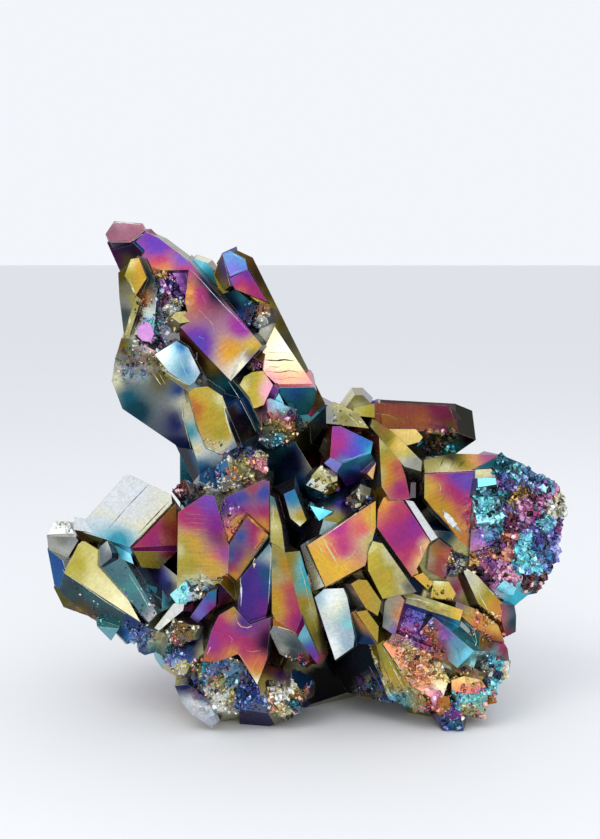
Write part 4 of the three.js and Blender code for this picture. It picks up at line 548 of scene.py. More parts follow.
FILM_RIGHT = {
    "right block, top": [
        (9.7, 21.9, 0.10, 0.72), (12.1, 21.5, 0.11, 0.72), (13.2, 21.9, 0.16, 0.34),
        (13.4, 21.6, 0.20, 0.46), (13.2, 21.3, 0.12, 0.66), (14.0, 22.0, 0.33, 0.66),
        (14.9, 21.7, 0.42, 0.66), (15.5, 22.2, 0.52, 0.60), (12.4, 21.2, 0.40, 0.78),
    ],
    "right block, front": [
        (9.9, 20.9, 0.12, 0.60), (10.0, 20.0, 0.13, 0.56), (10.0, 18.8, 0.10, 0.56),
        (10.6, 20.0, 0.26, 0.53), (11.1, 20.9, 0.48, 0.52), (11.2, 18.6, 0.24, 0.46),
        (12.0, 19.5, 0.48, 0.50), (12.0, 18.1, 0.26, 0.48), (12.7, 20.8, 0.66, 0.52),
        (12.9, 18.8, 0.49, 0.50), (12.9, 16.7, 0.24, 0.47), (13.6, 20.1, 0.68, 0.55),
        (13.6, 17.3, 0.46, 0.49), (13.3, 14.6, 0.12, 0.44),
    ],
    "right block, lower left side": [
        (10.3, 17.6, 0.04, 0.40), (11.2, 16.2, 0.78, 0.12), (11.9, 15.7, 0.86, 0.20),
        (11.7, 15.2, 0.84, 0.14),
    ],
    "teal break": [
        (14.2, 20.9, 0.84, 0.44), (14.9, 20.9, 0.10, 0.68), (14.6, 20.1, 0.96, 0.72),
        (15.9, 19.4, 0.94, 0.40), (15.1, 18.8, 0.97, 0.54), (15.1, 17.6, 0.95, 0.68),
        (16.1, 17.5, 0.97, 0.76), (15.8, 15.7, 0.84, 0.62), (15.2, 15.2, 0.76, 0.56),
        (14.8, 14.8, 0.53, 0.72), (15.5, 15.0, 0.60, 0.50), (15.2, 14.6, 0.56, 0.30),
    ],
    "dark groove": [
        (15.7, 21.4, 0.95, 0.20), (16.4, 21.5, 0.92, 0.24), (16.5, 20.4, 0.72, 0.36),
        (16.2, 19.9, 0.60, 0.50), (16.3, 19.2, 0.90, 0.28), (16.5, 18.6, 0.90, 0.24),
        (16.7, 17.9, 0.70, 0.52), (16.5, 16.6, 0.94, 0.28), (16.0, 14.9, 0.60, 0.20),
        (17.2, 16.4, 0.50, 0.28), (17.1, 15.5, 0.36, 0.48),
    ],
    "pink foot": [
        (14.2, 13.5, 0.24, 0.62), (15.6, 14.3, 0.35, 0.56), (15.6, 13.5, 0.62, 0.60),
        (16.2, 13.4, 0.56, 0.54), (16.9, 14.2, 0.36, 0.60), (15.0, 12.5, 0.56, 0.12),
        (17.2, 12.1, 0.46, 0.80), (17.0, 11.2, 0.92, 0.76), (16.9, 10.8, 0.94, 0.70),
        (15.3, 12.9, 0.50, 0.70),
    ],
    "druse": [
        (17.0, 21.2, 0.94, 0.44), (18.9, 20.2, 0.84, 0.56), (18.2, 19.3, 0.20, 0.46),
        (18.8, 18.2, 0.52, 0.64), (21.8, 17.6, 0.04, 0.60), (21.0, 16.4, 0.93, 0.66),
        (21.5, 16.4, 0.60, 0.40), (20.3, 15.2, 0.72, 0.42), (20.9, 14.9, 0.72, 0.60),
        (18.5, 14.8, 0.94, 0.62), (20.2, 14.5, 0.77, 0.50), (18.2, 13.6, 0.94, 0.62),
        (18.8, 13.6, 0.95, 0.68), (17.8, 10.6, 0.95, 0.50), (19.2, 10.9, 0.40, 0.12),
    ],
    "brown block": [
        (10.2, 14.8, 0.08, 0.38), (10.4, 14.2, 0.05, 0.36), (10.9, 14.6, 0.28, 0.36),
        (11.2, 14.2, 0.40, 0.36), (10.5, 12.6, 0.14, 0.36), (11.8, 14.4, 0.36, 0.52),
        (11.6, 13.6, 0.46, 0.36), (10.7, 12.2, 0.08, 0.40),
    ],
    "grey druse": [
        (12.2, 14.2, 0.05, 0.30), (12.7, 14.0, 0.70, 0.22), (12.3, 13.6, 0.02, 0.42),
        (12.9, 13.5, 0.02, 0.52), (12.3, 13.1, 0.80, 0.28), (12.8, 12.9, 0.02, 0.50),
        (13.2, 13.3, 0.05, 0.26), (12.9, 12.3, 0.25, 0.34), (13.2, 12.7, 0.60, 0.14),
        (12.0, 12.9, 0.60, 0.34), (13.5, 13.7, 0.90, 0.16),
    ],
    "gold steps": [
        (9.4, 12.7, 0.30, 0.54), (9.1, 12.4, 0.26, 0.52), (9.6, 11.9, 0.26, 0.50), (9.9, 12.6, 0.24, 0.52),
        (10.2, 12.2, 0.20, 0.54), (10.0, 11.6, 0.17, 0.64), (10.2, 11.2, 0.08, 0.56),
        (11.0, 11.7, 0.20, 0.52), (11.7, 11.6, 0.21, 0.52), (10.9, 11.2, 0.19, 0.51),
        (11.2, 11.9, 0.05, 0.68), (11.3, 10.7, 0.05, 0.66), (13.1, 10.3, 0.62, 0.42),
    ],
    "striated edge": [
        (13.2, 11.4, 0.14, 0.34), (12.9, 11.0, 0.50, 0.40), (13.6, 12.4, 0.04, 0.44),
        (13.7, 11.8, 0.04, 0.40), (13.4, 10.6, 0.10, 0.36), (13.9, 10.6, 0.10, 0.40),
        (13.2, 9.9, 0.17, 0.44),
    ],
    "thin gold prism": [
        (14.1, 12.2, 0.06, 0.50), (14.3, 11.6, 0.07, 0.50), (14.6, 11.6, 0.15, 0.50),
        (15.0, 11.0, 0.20, 0.52), (15.8, 10.2, 0.30, 0.52), (15.6, 9.4, 0.25, 0.50), (16.5, 9.4, 0.40, 0.54),
        (16.3, 8.8, 0.33, 0.50), (16.7, 10.0, 0.45, 0.54), (14.1, 10.9, 0.04, 0.44), (14.6, 9.7, 0.08, 0.44),
    ],
    "teal dark end": [
        (17.1, 9.6, 0.95, 0.30), (17.4, 8.4, 0.92, 0.18), (17.0, 7.5, 0.44, 0.34), (17.0, 10.1, 0.80, 0.16),
    ],
    "blue break": [
        (8.3, 11.0, 0.54, 0.59), (8.4, 9.2, 0.66, 0.53), (9.2, 9.5, 0.71, 0.53), (10.1, 9.7, 0.78, 0.55),
        (11.0, 9.3, 0.80, 0.57), (11.7, 9.5, 0.84, 0.58), (11.8, 9.0, 0.84, 0.57), (12.6, 9.2, 0.93, 0.63),
        (12.6, 8.6, 0.93, 0.61), (12.5, 7.4, 0.88, 0.63), (13.4, 6.4, 0.95, 0.67), (13.9, 6.0, 0.98, 0.69),
        (13.2, 5.9, 0.93, 0.67), (13.0, 5.6, 0.96, 0.69),
    ],
    "blue break, violet part": [
        (8.9, 8.7, 0.60, 0.46), (8.2, 8.2, 0.50, 0.50), (9.4, 8.3, 0.60, 0.34), (9.1, 7.7, 0.58, 0.46),
        (9.7, 7.6, 0.62, 0.50), (9.2, 7.2, 0.62, 0.52), (9.8, 7.1, 0.52, 0.50), (7.5, 8.8, 0.45, 0.52),
        (7.6, 8.3, 0.52, 0.54), (7.2, 8.6, 0.70, 0.50), (11.4, 8.1, 0.66, 0.54),
    ],
    "brown lump": [
        (10.5, 8.2, 0.34, 0.44), (10.6, 7.6, 0.32, 0.42), (10.3, 7.5, 0.44, 0.46), (11.2, 6.8, 0.40, 0.34),
        (11.5, 6.4, 0.34, 0.36), (11.7, 5.9, 0.40, 0.36),
    ],
    "olive frame": [
        (7.4, 11.6, 0.10, 0.33), (6.9, 10.3, 0.04, 0.35), (6.8, 9.0, 0.06, 0.37), (9.0, 11.3, 0.12, 0.31),
        (10.7, 10.7, 0.16, 0.35), (11.5, 10.3, 0.15, 0.35), (12.9, 9.6, 0.20, 0.33), (15.0, 7.6, 0.26, 0.28),
        (7.6, 9.9, 0.33, 0.53), (11.0, 10.3, 0.18, 0.46), (6.4, 9.4, 0.90, 0.26), (6.6, 8.0, 0.12, 0.33),
    ],
    "gold frame": [
        (12.0, 10.5, 0.18, 0.54), (12.8, 10.2, 0.26, 0.56), (13.4, 10.0, 0.15, 0.60),
        (14.2, 9.1, 0.33, 0.54), (15.6, 8.4, 0.20, 0.62), (16.3, 8.4, 0.36, 0.56), (15.2, 8.1, 0.34, 0.54),
        (16.5, 7.8, 0.34, 0.62),
    ],
    "brown side": [
        (15.4, 7.6, 0.40, 0.22), (15.9, 7.5, 0.36, 0.18), (16.3, 7.2, 0.48, 0.46), (15.4, 6.9, 0.38, 0.20),
        (16.5, 6.7, 0.46, 0.54), (16.2, 6.1, 0.40, 0.20), (15.0, 6.6, 0.15, 0.34),
    ],
    "gold and pink slab": [
        (6.5, 7.8, 0.22, 0.56), (8.8, 6.9, 0.18, 0.56), (7.6, 6.7, 0.34, 0.60), (9.6, 6.6, 0.28, 0.58),
        (10.1, 4.5, 0.33, 0.58), (11.1, 4.4, 0.20, 0.58), (11.2, 3.9, 0.08, 0.78), (7.0, 5.6, 0.16, 0.52),
        (11.6, 5.4, 0.10, 0.38),
    ],
    "striped slabs": [
        (6.2, 6.1, 0.15, 0.43), (7.7, 4.3, 0.18, 0.50), (7.4, 3.6, 0.16, 0.50), (7.4, 2.8, 0.90, 0.43),
        (8.1, 1.9, 0.12, 0.40), (5.7, 6.8, 0.18, 0.50),
    ],
    # Painted shade: the low tones darken this side, turned down from the light, and the hollow between the two
    # feet.
    "shaded side with flakes": [
        (5.4, 5.0, 0.84, 0.10), (5.2, 3.4, 0.76, 0.06), (6.1, 3.0, 0.84, 0.10), (5.6, 2.5, 0.72, 0.08),
        (6.6, 2.2, 0.80, 0.30), (3.6, 3.2, 0.70, 0.03), (3.4, 6.4, 0.78, 0.07), (2.0, 4.4, 0.76, 0.04),
        (3.0, 2.4, 0.70, 0.03), (1.2, 3.2, 0.72, 0.03),
    ],
    "orange foot": [
        (10.0, 3.1, 0.28, 0.54), (10.7, 3.4, 0.50, 0.68), (11.3, 2.5, 0.33, 0.50), (10.6, 2.2, 0.40, 0.52),
        (11.6, 2.2, 0.28, 0.46), (10.4, 1.7, 0.52, 0.46), (12.0, 3.0, 0.17, 0.36), (12.2, 1.5, 0.60, 0.44),
        (12.3, 0.9, 0.88, 0.62), (11.7, 0.4, 0.76, 0.44), (12.7, 0.7, 0.80, 0.40),
    ],
    "gold ledge": [
        (12.1, 4.4, 0.17, 0.50), (12.9, 4.6, 0.16, 0.54), (13.2, 4.2, 0.18, 0.64), (13.9, 4.5, 0.22, 0.44),
        (13.9, 4.1, 0.20, 0.62), (14.6, 4.2, 0.28, 0.44), (13.2, 3.6, 0.40, 0.54), (14.0, 3.5, 0.45, 0.54),
        (12.0, 3.7, 0.20, 0.54), (13.0, 5.0, 0.30, 0.20), (14.0, 5.0, 0.20, 0.22), (12.6, 5.2, 0.20, 0.22),
    ],
    "green crust": [
        (12.5, 3.1, 0.95, 0.52), (13.8, 3.1, 0.97, 0.60), (14.5, 3.1, 0.99, 0.60), (13.2, 2.5, 0.97, 0.64),
        (12.5, 1.9, 0.93, 0.54), (13.2, 1.9, 0.15, 0.56), (13.2, 1.3, 0.12, 0.44), (15.2, 2.4, 0.30, 0.52),
        (15.4, 3.0, 0.36, 0.54), (16.0, 2.6, 0.98, 0.52), (15.9, 3.3, 0.95, 0.60),
    ],
    "grey glitter": [
        (14.4, 6.0, 0.02, 0.44), (15.2, 5.2, 0.05, 0.34), (15.7, 6.1, 0.97, 0.64), (15.9, 5.5, 0.90, 0.62),
        (16.2, 5.2, 0.96, 0.56), (16.0, 4.6, 0.78, 0.34), (16.6, 4.4, 0.10, 0.68), (17.0, 4.5, 0.04, 0.56),
        (15.7, 4.0, 0.95, 0.62), (14.4, 4.7, 0.10, 0.34),
    ],
}

FILM_TABLES = [FILM_TOP_LEFT, FILM_TOP_RIGHT, FILM_LEFT, FILM_CENTRE, FILM_RIGHT]

# Films that faces without marks take, the thin ones more often.
OWN_FILMS = np.array([
    0.16, 0.20, 0.25, 0.30, 0.40, 0.47, 0.52, 0.60, 0.66, 0.72, 0.77, 0.80, 0.86, 0.92, 0.10, 0.24,
])

# Crusts of fine crystals: centre x, y, z, radius, strength.
CRUSTS = [
    (-11.5, 0.5, 36.0, 1.9, 0.5),
    (-14.6, -1.0, 30.3, 1.9, 0.7),
    (-4.4, 1.0, 30.2, 0.7, 0.8),
    (-4.0, 1.0, 34.0, 1.4, 0.5),
    (-2.4, 0.0, 24.8, 1.9, 0.7),
    (-5.0, -1.5, 21.6, 2.3, 0.8),
    (19.0, -3.0, 16.0, 4.8, 1.2),
    (15.5, -3.0, 17.5, 2.4, 0.8),
    (12.6, -4.0, 13.3, 1.1, 0.9),
    (-7.0, -6.0, 3.8, 2.9, 0.9),
    (-1.4, -5.0, 2.6, 1.9, 0.9),
    (-13.6, -5.0, 7.4, 1.3, 1.0),
    (-10.4, -6.0, 8.0, 1.6, 0.6),
    (9.5, -6.0, 8.6, 2.6, 0.5),
    (14.5, -4.0, 5.0, 2.4, 0.8),
    (13.2, -5.0, 2.2, 1.7, 0.9),
    (11.0, -5.0, 1.6, 1.5, 0.8),
    (9.6, -6.0, 5.0, 2.2, 0.7),
    (6.0, -6.0, 2.6, 2.0, 0.8),
    (10.5, 3.0, 22.8, 2.8, 0.6),
    (-18.5, -2.0, 8.6, 2.4, 0.7),
    (0.0, 9.0, 10.0, 6.0, 0.5),
]

# Low ridges drawn on the faces: film, tone, width, and the x, z points that the line goes through.
# Some are painted glints, pale, and some painted shade along cracks, dark; the rest are film bands and seams.
LINES = [
    (0.16, 0.30, 0.07, [(-3.5, 30.95), (-2.4, 30.85), (-1.3, 30.9)]),
    (0.30, 0.14, 0.16, [(-3.8, 30.3), (-2.6, 30.2), (-1.8, 30.28), (-0.9, 30.15)]),
    (0.30, 0.22, 0.11, [(-3.5, 29.3), (-2.2, 29.22), (-1.4, 29.35), (-0.5, 29.2)]),
    (0.36, 0.40, 0.07, [(-3.2, 28.85), (-2.2, 28.6), (-1.4, 28.8), (-0.3, 28.7)]),
    (0.16, 0.44, 0.06, [(-3.3, 29.75), (-2.4, 29.65), (-1.9, 29.9)]),
    (0.16, 0.42, 0.05, [(-2.7, 31.5), (-1.9, 31.45)]),
    (0.50, 0.34, 0.09, [(-2.9, 28.12), (0.4, 28.05)]),
    (0.20, 0.12, 0.11, [(-13.2, 20.2), (-14.2, 19.2), (-14.9, 18.5)]),
    (1.10, 0.26, 0.09, [(-14.9, 18.5), (-15.7, 17.6), (-16.2, 17.0)]),
    (0.32, 0.26, 0.12, [(-11.4, 19.0), (-12.6, 17.8), (-13.8, 16.6)]),
    (0.14, 0.62, 0.16, [(-11.2, 18.7), (-12.4, 17.6), (-13.8, 16.2)]),
    (0.00, 0.62, 0.06, [(-12.2, 19.8), (-13.4, 18.5), (-14.6, 17.3)]),
    (0.45, 0.70, 0.07, [(-9.2, 34.7), (-8.6, 34.1), (-8.0, 33.5), (-7.8, 33.0), (-7.95, 32.6)]),
    (0.44, 0.74, 0.12, [(-9.1, 32.35), (-8.7, 32.15)]),
    (0.40, 0.62, 0.04, [(-8.9, 35.9), (-8.5, 35.2)]),
    (0.36, 0.66, 0.05, [(-7.2, 31.8), (-6.6, 31.5), (-6.3, 31.6)]),
    (0.05, 0.56, 0.26, [(-4.7, 31.55), (-5.3, 31.0), (-5.7, 30.3), (-6.1, 29.4), (-6.5, 28.7)]),
    (0.00, 0.62, 0.07, [(-9.9, 38.1), (-9.0, 37.2), (-8.2, 36.3), (-7.0, 35.0), (-5.9, 33.9), (-5.0, 32.9)]),
    (0.03, 0.46, 0.09, [(-13.2, 41.4), (-12.2, 40.5), (-11.0, 39.6), (-10.0, 38.6)]),
    (0.12, 0.56, 0.16, [(-12.7, 38.05), (-11.8, 37.9), (-10.8, 37.95), (-10.3, 37.6), (-10.1, 36.8)]),
    (0.08, 0.56, 0.20, [(-7.0, 27.6), (-6.8, 26.2), (-6.4, 24.8), (-6.1, 23.7)]),
    (0.34, 0.46, 0.10, [(-9.4, 27.6), (-9.4, 26.2), (-9.3, 25.0), (-8.9, 24.2)]),
    (0.08, 0.78, 0.10, [(-9.2, 24.6), (-8.7, 23.6), (-8.2, 23.2), (-7.4, 22.9), (-6.8, 23.2)]),
    (0.04, 0.62, 0.14, [(-10.6, 26.9), (-10.6, 25.4), (-10.2, 23.6), (-9.9, 22.0)]),
    (0.10, 0.70, 0.09, [(-20.2, 13.4), (-18.4, 12.2), (-16.6, 10.9), (-14.9, 9.9)]),
    (0.02, 0.60, 0.08, [(-14.6, 13.2), (-13.6, 11.6), (-12.9, 10.2)]),
    (0.76, 0.60, 0.14, [(-6.6, 27.2), (-6.0, 26.8), (-5.5, 26.2)]),
    (0.04, 0.50, 0.12, [(-6.6, 28.5), (-5.6, 26.9), (-4.8, 25.3), (-4.3, 24.2)]),
    (0.33, 0.68, 0.13, [(-5.8, 10.3), (-5.6, 9.6), (-5.3, 9.25), (-4.8, 9.15), (-4.4, 9.3), (-4.0, 9.7)]),
    (0.70, 0.10, 0.10, [(-5.5, 10.2), (-5.4, 9.75), (-5.1, 9.45), (-4.7, 9.45), (-4.5, 9.7)]),
    (0.04, 0.74, 0.12, [(-8.1, 7.0), (-7.8, 7.6), (-7.6, 8.2)]),
    (0.30, 0.66, 0.08, [(-6.0, 7.4), (-5.4, 6.9), (-4.9, 6.2), (-4.4, 5.4)]),
    (0.36, 0.62, 0.06, [(-4.9, 7.3), (-4.4, 7.2), (-3.7, 7.3)]),
    (0.42, 0.66, 0.06, [(-6.3, 8.6), (-6.0, 8.2), (-6.2, 7.9)]),
    (0.00, 0.76, 0.11, [(-2.5, 9.6), (-2.3, 9.15), (-1.5, 8.8), (-0.7, 8.35)]),
    (0.08, 0.62, 0.08, [(-2.2, 16.6), (-2.7, 18.0), (-2.7, 19.0)]),
    (0.04, 0.52, 0.08, [(-2.9, 16.0), (-2.9, 14.4), (-3.0, 12.6), (-3.1, 11.0)]),
    (0.02, 0.78, 0.14, [(-5.4, 13.1), (-5.3, 12.4), (-5.3, 11.5), (-5.35, 10.8)]),
    (0.10, 0.46, 0.10, [(-0.8, 15.2), (-0.2, 13.0), (0.3, 10.8), (0.9, 8.4)]),
    (0.26, 0.56, 0.22, [(-6.8, 16.6), (-5.9, 17.5), (-5.05, 18.3)]),
    (0.28, 0.52, 0.20, [(-4.9, 18.3), (-4.1, 17.5), (-3.3, 16.9)]),
    (0.42, 0.26, 0.12, [(-6.9, 17.0), (-6.0, 17.9), (-5.1, 18.7)]),
    (0.30, 0.50, 0.34, [(-3.1, 16.9), (-3.7, 16.1), (-4.3, 15.4)]),
    (0.13, 0.76, 0.30, [(-4.2, 15.3), (-4.2, 14.7), (-4.25, 14.0)]),
    (0.56, 0.30, 0.05, [(-10.3, 18.9), (-9.2, 18.95), (-8.0, 18.8)]),
    (0.52, 0.30, 0.05, [(-10.2, 17.9), (-8.8, 17.95), (-7.6, 17.8)]),
    (0.40, 0.28, 0.05, [(-10.3, 16.6), (-9.0, 16.5), (-7.6, 16.6)]),
    (0.26, 0.28, 0.05, [(-10.3, 15.2), (-8.8, 15.1), (-7.2, 15.2)]),
    (0.20, 0.28, 0.05, [(-10.2, 14.2), (-8.8, 14.0), (-7.4, 14.1)]),
    (0.40, 0.26, 0.05, [(-10.2, 16.1), (-9.4, 16.0)]),
    (0.60, 0.30, 0.05, [(-10.0, 18.4), (-9.0, 18.5)]),
    (0.33, 0.58, 0.05, [(-9.6, 17.0), (-8.6, 17.05), (-7.9, 16.9)]),
    (0.45, 0.60, 0.05, [(-10.2, 17.5), (-9.2, 17.6), (-8.2, 17.5)]),
    (0.30, 0.60, 0.05, [(-8.8, 15.7), (-7.8, 15.7)]),
    (0.54, 0.62, 0.05, [(-9.9, 18.3), (-9.0, 18.3), (-8.2, 18.2)]),
    (0.13, 0.68, 0.19, [(1.35, 16.2), (1.9, 15.2), (2.7, 13.9)]),
    (0.14, 0.66, 0.10, [(0.9, 15.9), (1.2, 15.3), (1.5, 14.7)]),
    (0.36, 0.68, 0.08, [(1.9, 16.1), (2.2, 15.4), (2.8, 14.4)]),
    (0.24, 0.60, 0.22, [(5.3, 18.6), (5.3, 17.7), (5.4, 16.9)]),
    (0.14, 0.70, 0.08, [(3.2, 13.9), (3.6, 13.2)]),
    (0.16, 0.68, 0.10, [(3.0, 14.2), (3.8, 14.7), (4.2, 15.3)]),
    (0.15, 0.72, 0.10, [(-0.1, 15.3), (2.0, 16.6), (4.0, 17.9), (5.9, 19.2)]),
    (0.12, 0.70, 0.14, [(2.0, 12.2), (3.2, 12.9), (4.4, 13.2)]),
    (0.36, 0.12, 0.10, [(5.9, 18.7), (5.9, 17.8), (5.7, 17.0)]),
    (0.20, 0.58, 0.10, [(6.1, 18.8), (6.15, 18.0)]),
    (0.14, 0.68, 0.12, [(10.4, 15.4), (9.6, 15.1), (9.7, 14.2), (9.5, 13.4)]),
    (0.10, 0.66, 0.08, [(7.6, 19.0), (8.4, 19.1)]),
    (0.12, 0.56, 0.12, [(5.2, 14.9), (5.2, 15.6), (5.7, 16.1)]),
    (0.30, 0.22, 0.07, [(11.3, 18.4), (11.9, 19.2), (12.2, 19.7)]),
    (0.01, 0.80, 0.52, [(11.5, 17.9), (12.05, 17.2), (12.65, 16.5), (13.2, 15.9)]),
    (0.78, 0.10, 0.16, [(11.0, 17.75), (11.55, 17.05), (12.1, 16.4), (12.7, 15.7)]),
    (0.14, 0.72, 0.10, [(11.2, 20.3), (11.4, 19.8), (11.3, 19.3)]),
    (0.40, 0.80, 0.10, [(11.3, 21.15), (12.4, 21.15), (13.8, 21.25), (14.4, 21.2)]),
    (0.20, 0.34, 0.13, [(11.3, 21.5), (11.7, 22.1)]),
    (0.20, 0.32, 0.14, [(12.2, 21.45), (12.7, 22.15)]),
    (0.20, 0.30, 0.22, [(12.9, 21.5), (13.5, 22.0)]),
    (0.04, 0.74, 0.12, [(-16.9, 41.7), (-16.2, 42.0), (-15.2, 41.95), (-14.1, 41.8)]),
    (1.20, 0.18, 0.07, [(-16.7, 40.45), (-15.8, 40.4), (-15.0, 40.5), (-14.0, 41.3)]),
    (0.02, 0.62, 0.08, [(-14.9, 40.3), (-13.9, 41.0), (-13.6, 41.4)]),
    (0.12, 0.62, 0.12, [(9.95, 21.0), (9.9, 19.8), (9.95, 18.8)]),
    (0.35, 0.44, 0.07, [(7.9, 25.5), (8.5, 24.9), (9.0, 25.6)]),
    (0.24, 0.50, 0.07, [(6.0, 25.6), (7.2, 25.5), (7.9, 25.1)]),
    (0.44, 0.16, 0.10, [(6.0, 26.45), (8.4, 26.4), (10.9, 26.35), (12.6, 26.2)]),
    (0.17, 0.56, 0.07, [(-13.9, 38.3), (-14.3, 37.6)]),
    (0.14, 0.70, 0.16, [(-15.0, 37.3), (-14.7, 36.5), (-14.4, 35.8)]),
    (0.13, 0.66, 0.20, [(-14.5, 35.4), (-14.9, 34.4), (-15.1, 33.2), (-15.4, 32.3)]),
    (0.30, 0.24, 0.10, [(-14.7, 35.0), (-15.2, 33.6), (-15.5, 32.4)]),
    (0.12, 0.66, 0.16, [(-12.4, 29.8), (-11.4, 29.0), (-10.6, 28.6), (-9.9, 28.25)]),
    (0.02, 0.60, 0.10, [(-13.0, 29.2), (-12.4, 28.2)]),
    (0.03, 0.62, 0.07, [(-12.6, 29.4), (-12.0, 28.2)]),
    (0.02, 0.70, 0.08, [(-9.3, 31.0), (-9.4, 30.0), (-9.5, 29.0)]),
    (0.84, 0.50, 0.06, [(-10.4, 31.2), (-10.2, 30.2), (-10.0, 29.2)]),
    (0.02, 0.66, 0.06, [(-10.9, 31.2), (-10.6, 30.2), (-10.1, 29.0)]),
    (0.94, 0.62, 0.08, [(-6.6, 37.5), (-5.9, 37.8), (-5.3, 38.1)]),
    (0.92, 0.66, 0.09, [(-6.9, 39.3), (-6.2, 39.3), (-5.5, 38.9), (-5.3, 38.4)]),
    (0.10, 0.48, 0.12, [(2.9, 26.9), (3.6, 25.9), (4.4, 25.1), (5.3, 24.4), (6.0, 23.9)]),
    (0.95, 0.52, 0.08, [(2.9, 22.35), (3.8, 22.5), (4.8, 22.85), (5.5, 23.1)]),
    (0.14, 0.60, 0.14, [(6.5, 6.7), (7.1, 5.4), (7.9, 4.0), (8.6, 2.9)]),
    (0.20, 0.26, 0.10, [(6.8, 6.6), (7.5, 5.2), (8.3, 3.9), (9.1, 2.9)]),
    (0.12, 0.62, 0.12, [(7.1, 6.6), (7.8, 5.3), (8.6, 4.0), (9.4, 3.1)]),
    (0.80, 0.20, 0.12, [(6.1, 6.3), (6.6, 5.0), (7.2, 3.7), (7.9, 2.5)]),
    (0.02, 0.66, 0.10, [(5.7, 5.6), (6.2, 4.4), (6.8, 3.3), (7.4, 2.5)]),
    (0.76, 0.50, 0.10, [(5.3, 5.2), (5.8, 4.2), (6.3, 3.3)]),
    (0.14, 0.66, 0.10, [(6.7, 7.8), (7.8, 7.6), (8.8, 7.1), (9.6, 6.9)]),
    (0.10, 0.70, 0.10, [(9.3, 6.9), (10.1, 6.3), (10.8, 5.5), (11.3, 4.7)]),
    (0.40, 0.26, 0.08, [(7.8, 6.9), (8.2, 6.0), (8.6, 5.0), (9.2, 4.2)]),
    (0.90, 0.26, 0.07, [(12.8, 6.6), (13.2, 7.5), (13.8, 8.1), (14.2, 8.3)]),
    (0.97, 0.74, 0.08, [(13.3, 8.9), (14.0, 8.3), (14.2, 7.4), (13.9, 6.4)]),
    (0.80, 0.28, 0.06, [(10.0, 10.0), (9.8, 9.3), (10.2, 9.0)]),
    (0.76, 0.22, 0.07, [(8.9, 10.6), (9.3, 10.0), (9.2, 9.4)]),
    (0.78, 0.70, 0.06, [(9.3, 10.5), (9.7, 10.0), (9.7, 9.5)]),
    (0.78, 0.24, 0.07, [(10.6, 10.2), (10.9, 9.6), (10.8, 9.1)]),
    (0.86, 0.74, 0.07, [(11.2, 9.9), (11.5, 9.4), (11.4, 8.9)]),
    (0.80, 0.26, 0.08, [(11.8, 9.7), (12.2, 9.2), (12.1, 8.6), (12.4, 8.0)]),
    (0.93, 0.74, 0.08, [(12.7, 9.3), (12.9, 8.6), (12.7, 8.0)]),
    (0.84, 0.26, 0.07, [(12.2, 7.4), (12.6, 6.8), (12.8, 6.0)]),
    (0.10, 0.74, 0.10, [(8.4, 11.1), (9.3, 11.0), (10.3, 10.7)]),
    (0.33, 0.64, 0.14, [(7.9, 10.9), (7.7, 10.2), (7.3, 9.4)]),
    (0.26, 0.62, 0.10, [(10.8, 10.4), (12.2, 10.2), (13.4, 9.8), (14.4, 9.4)]),
    (0.45, 0.60, 0.08, [(15.7, 8.9), (16.2, 8.4), (16.5, 7.6), (16.7, 6.8)]),
    (0.10, 0.60, 0.10, [(14.2, 12.1), (14.6, 10.9), (15.2, 9.9), (15.9, 9.0)]),
    (0.02, 0.74, 0.12, [(15.3, 11.5), (16.0, 10.9), (16.8, 10.2)]),
    (0.90, 0.20, 0.16, [(16.7, 18.9), (16.6, 17.8), (16.7, 16.6), (16.5, 15.4)]),
    (0.95, 0.68, 0.10, [(14.3, 18.4), (15.2, 18.5), (16.0, 18.4)]),
    (0.95, 0.70, 0.10, [(14.4, 17.7), (15.3, 17.8), (16.1, 17.6)]),
    (0.90, 0.24, 0.09, [(14.3, 18.1), (15.2, 18.0), (16.1, 18.0)]),
    (0.90, 0.24, 0.08, [(14.3, 17.3), (15.1, 17.35), (15.9, 17.2)]),
    (0.92, 0.26, 0.08, [(14.4, 19.1), (15.2, 19.1), (16.0, 19.0)]),
    (0.96, 0.66, 0.08, [(14.4, 16.8), (15.2, 16.9), (15.8, 16.7)]),
    (0.93, 0.22, 0.10, [(-6.9, 17.4), (-6.7, 18.3), (-6.5, 19.0)]),
]

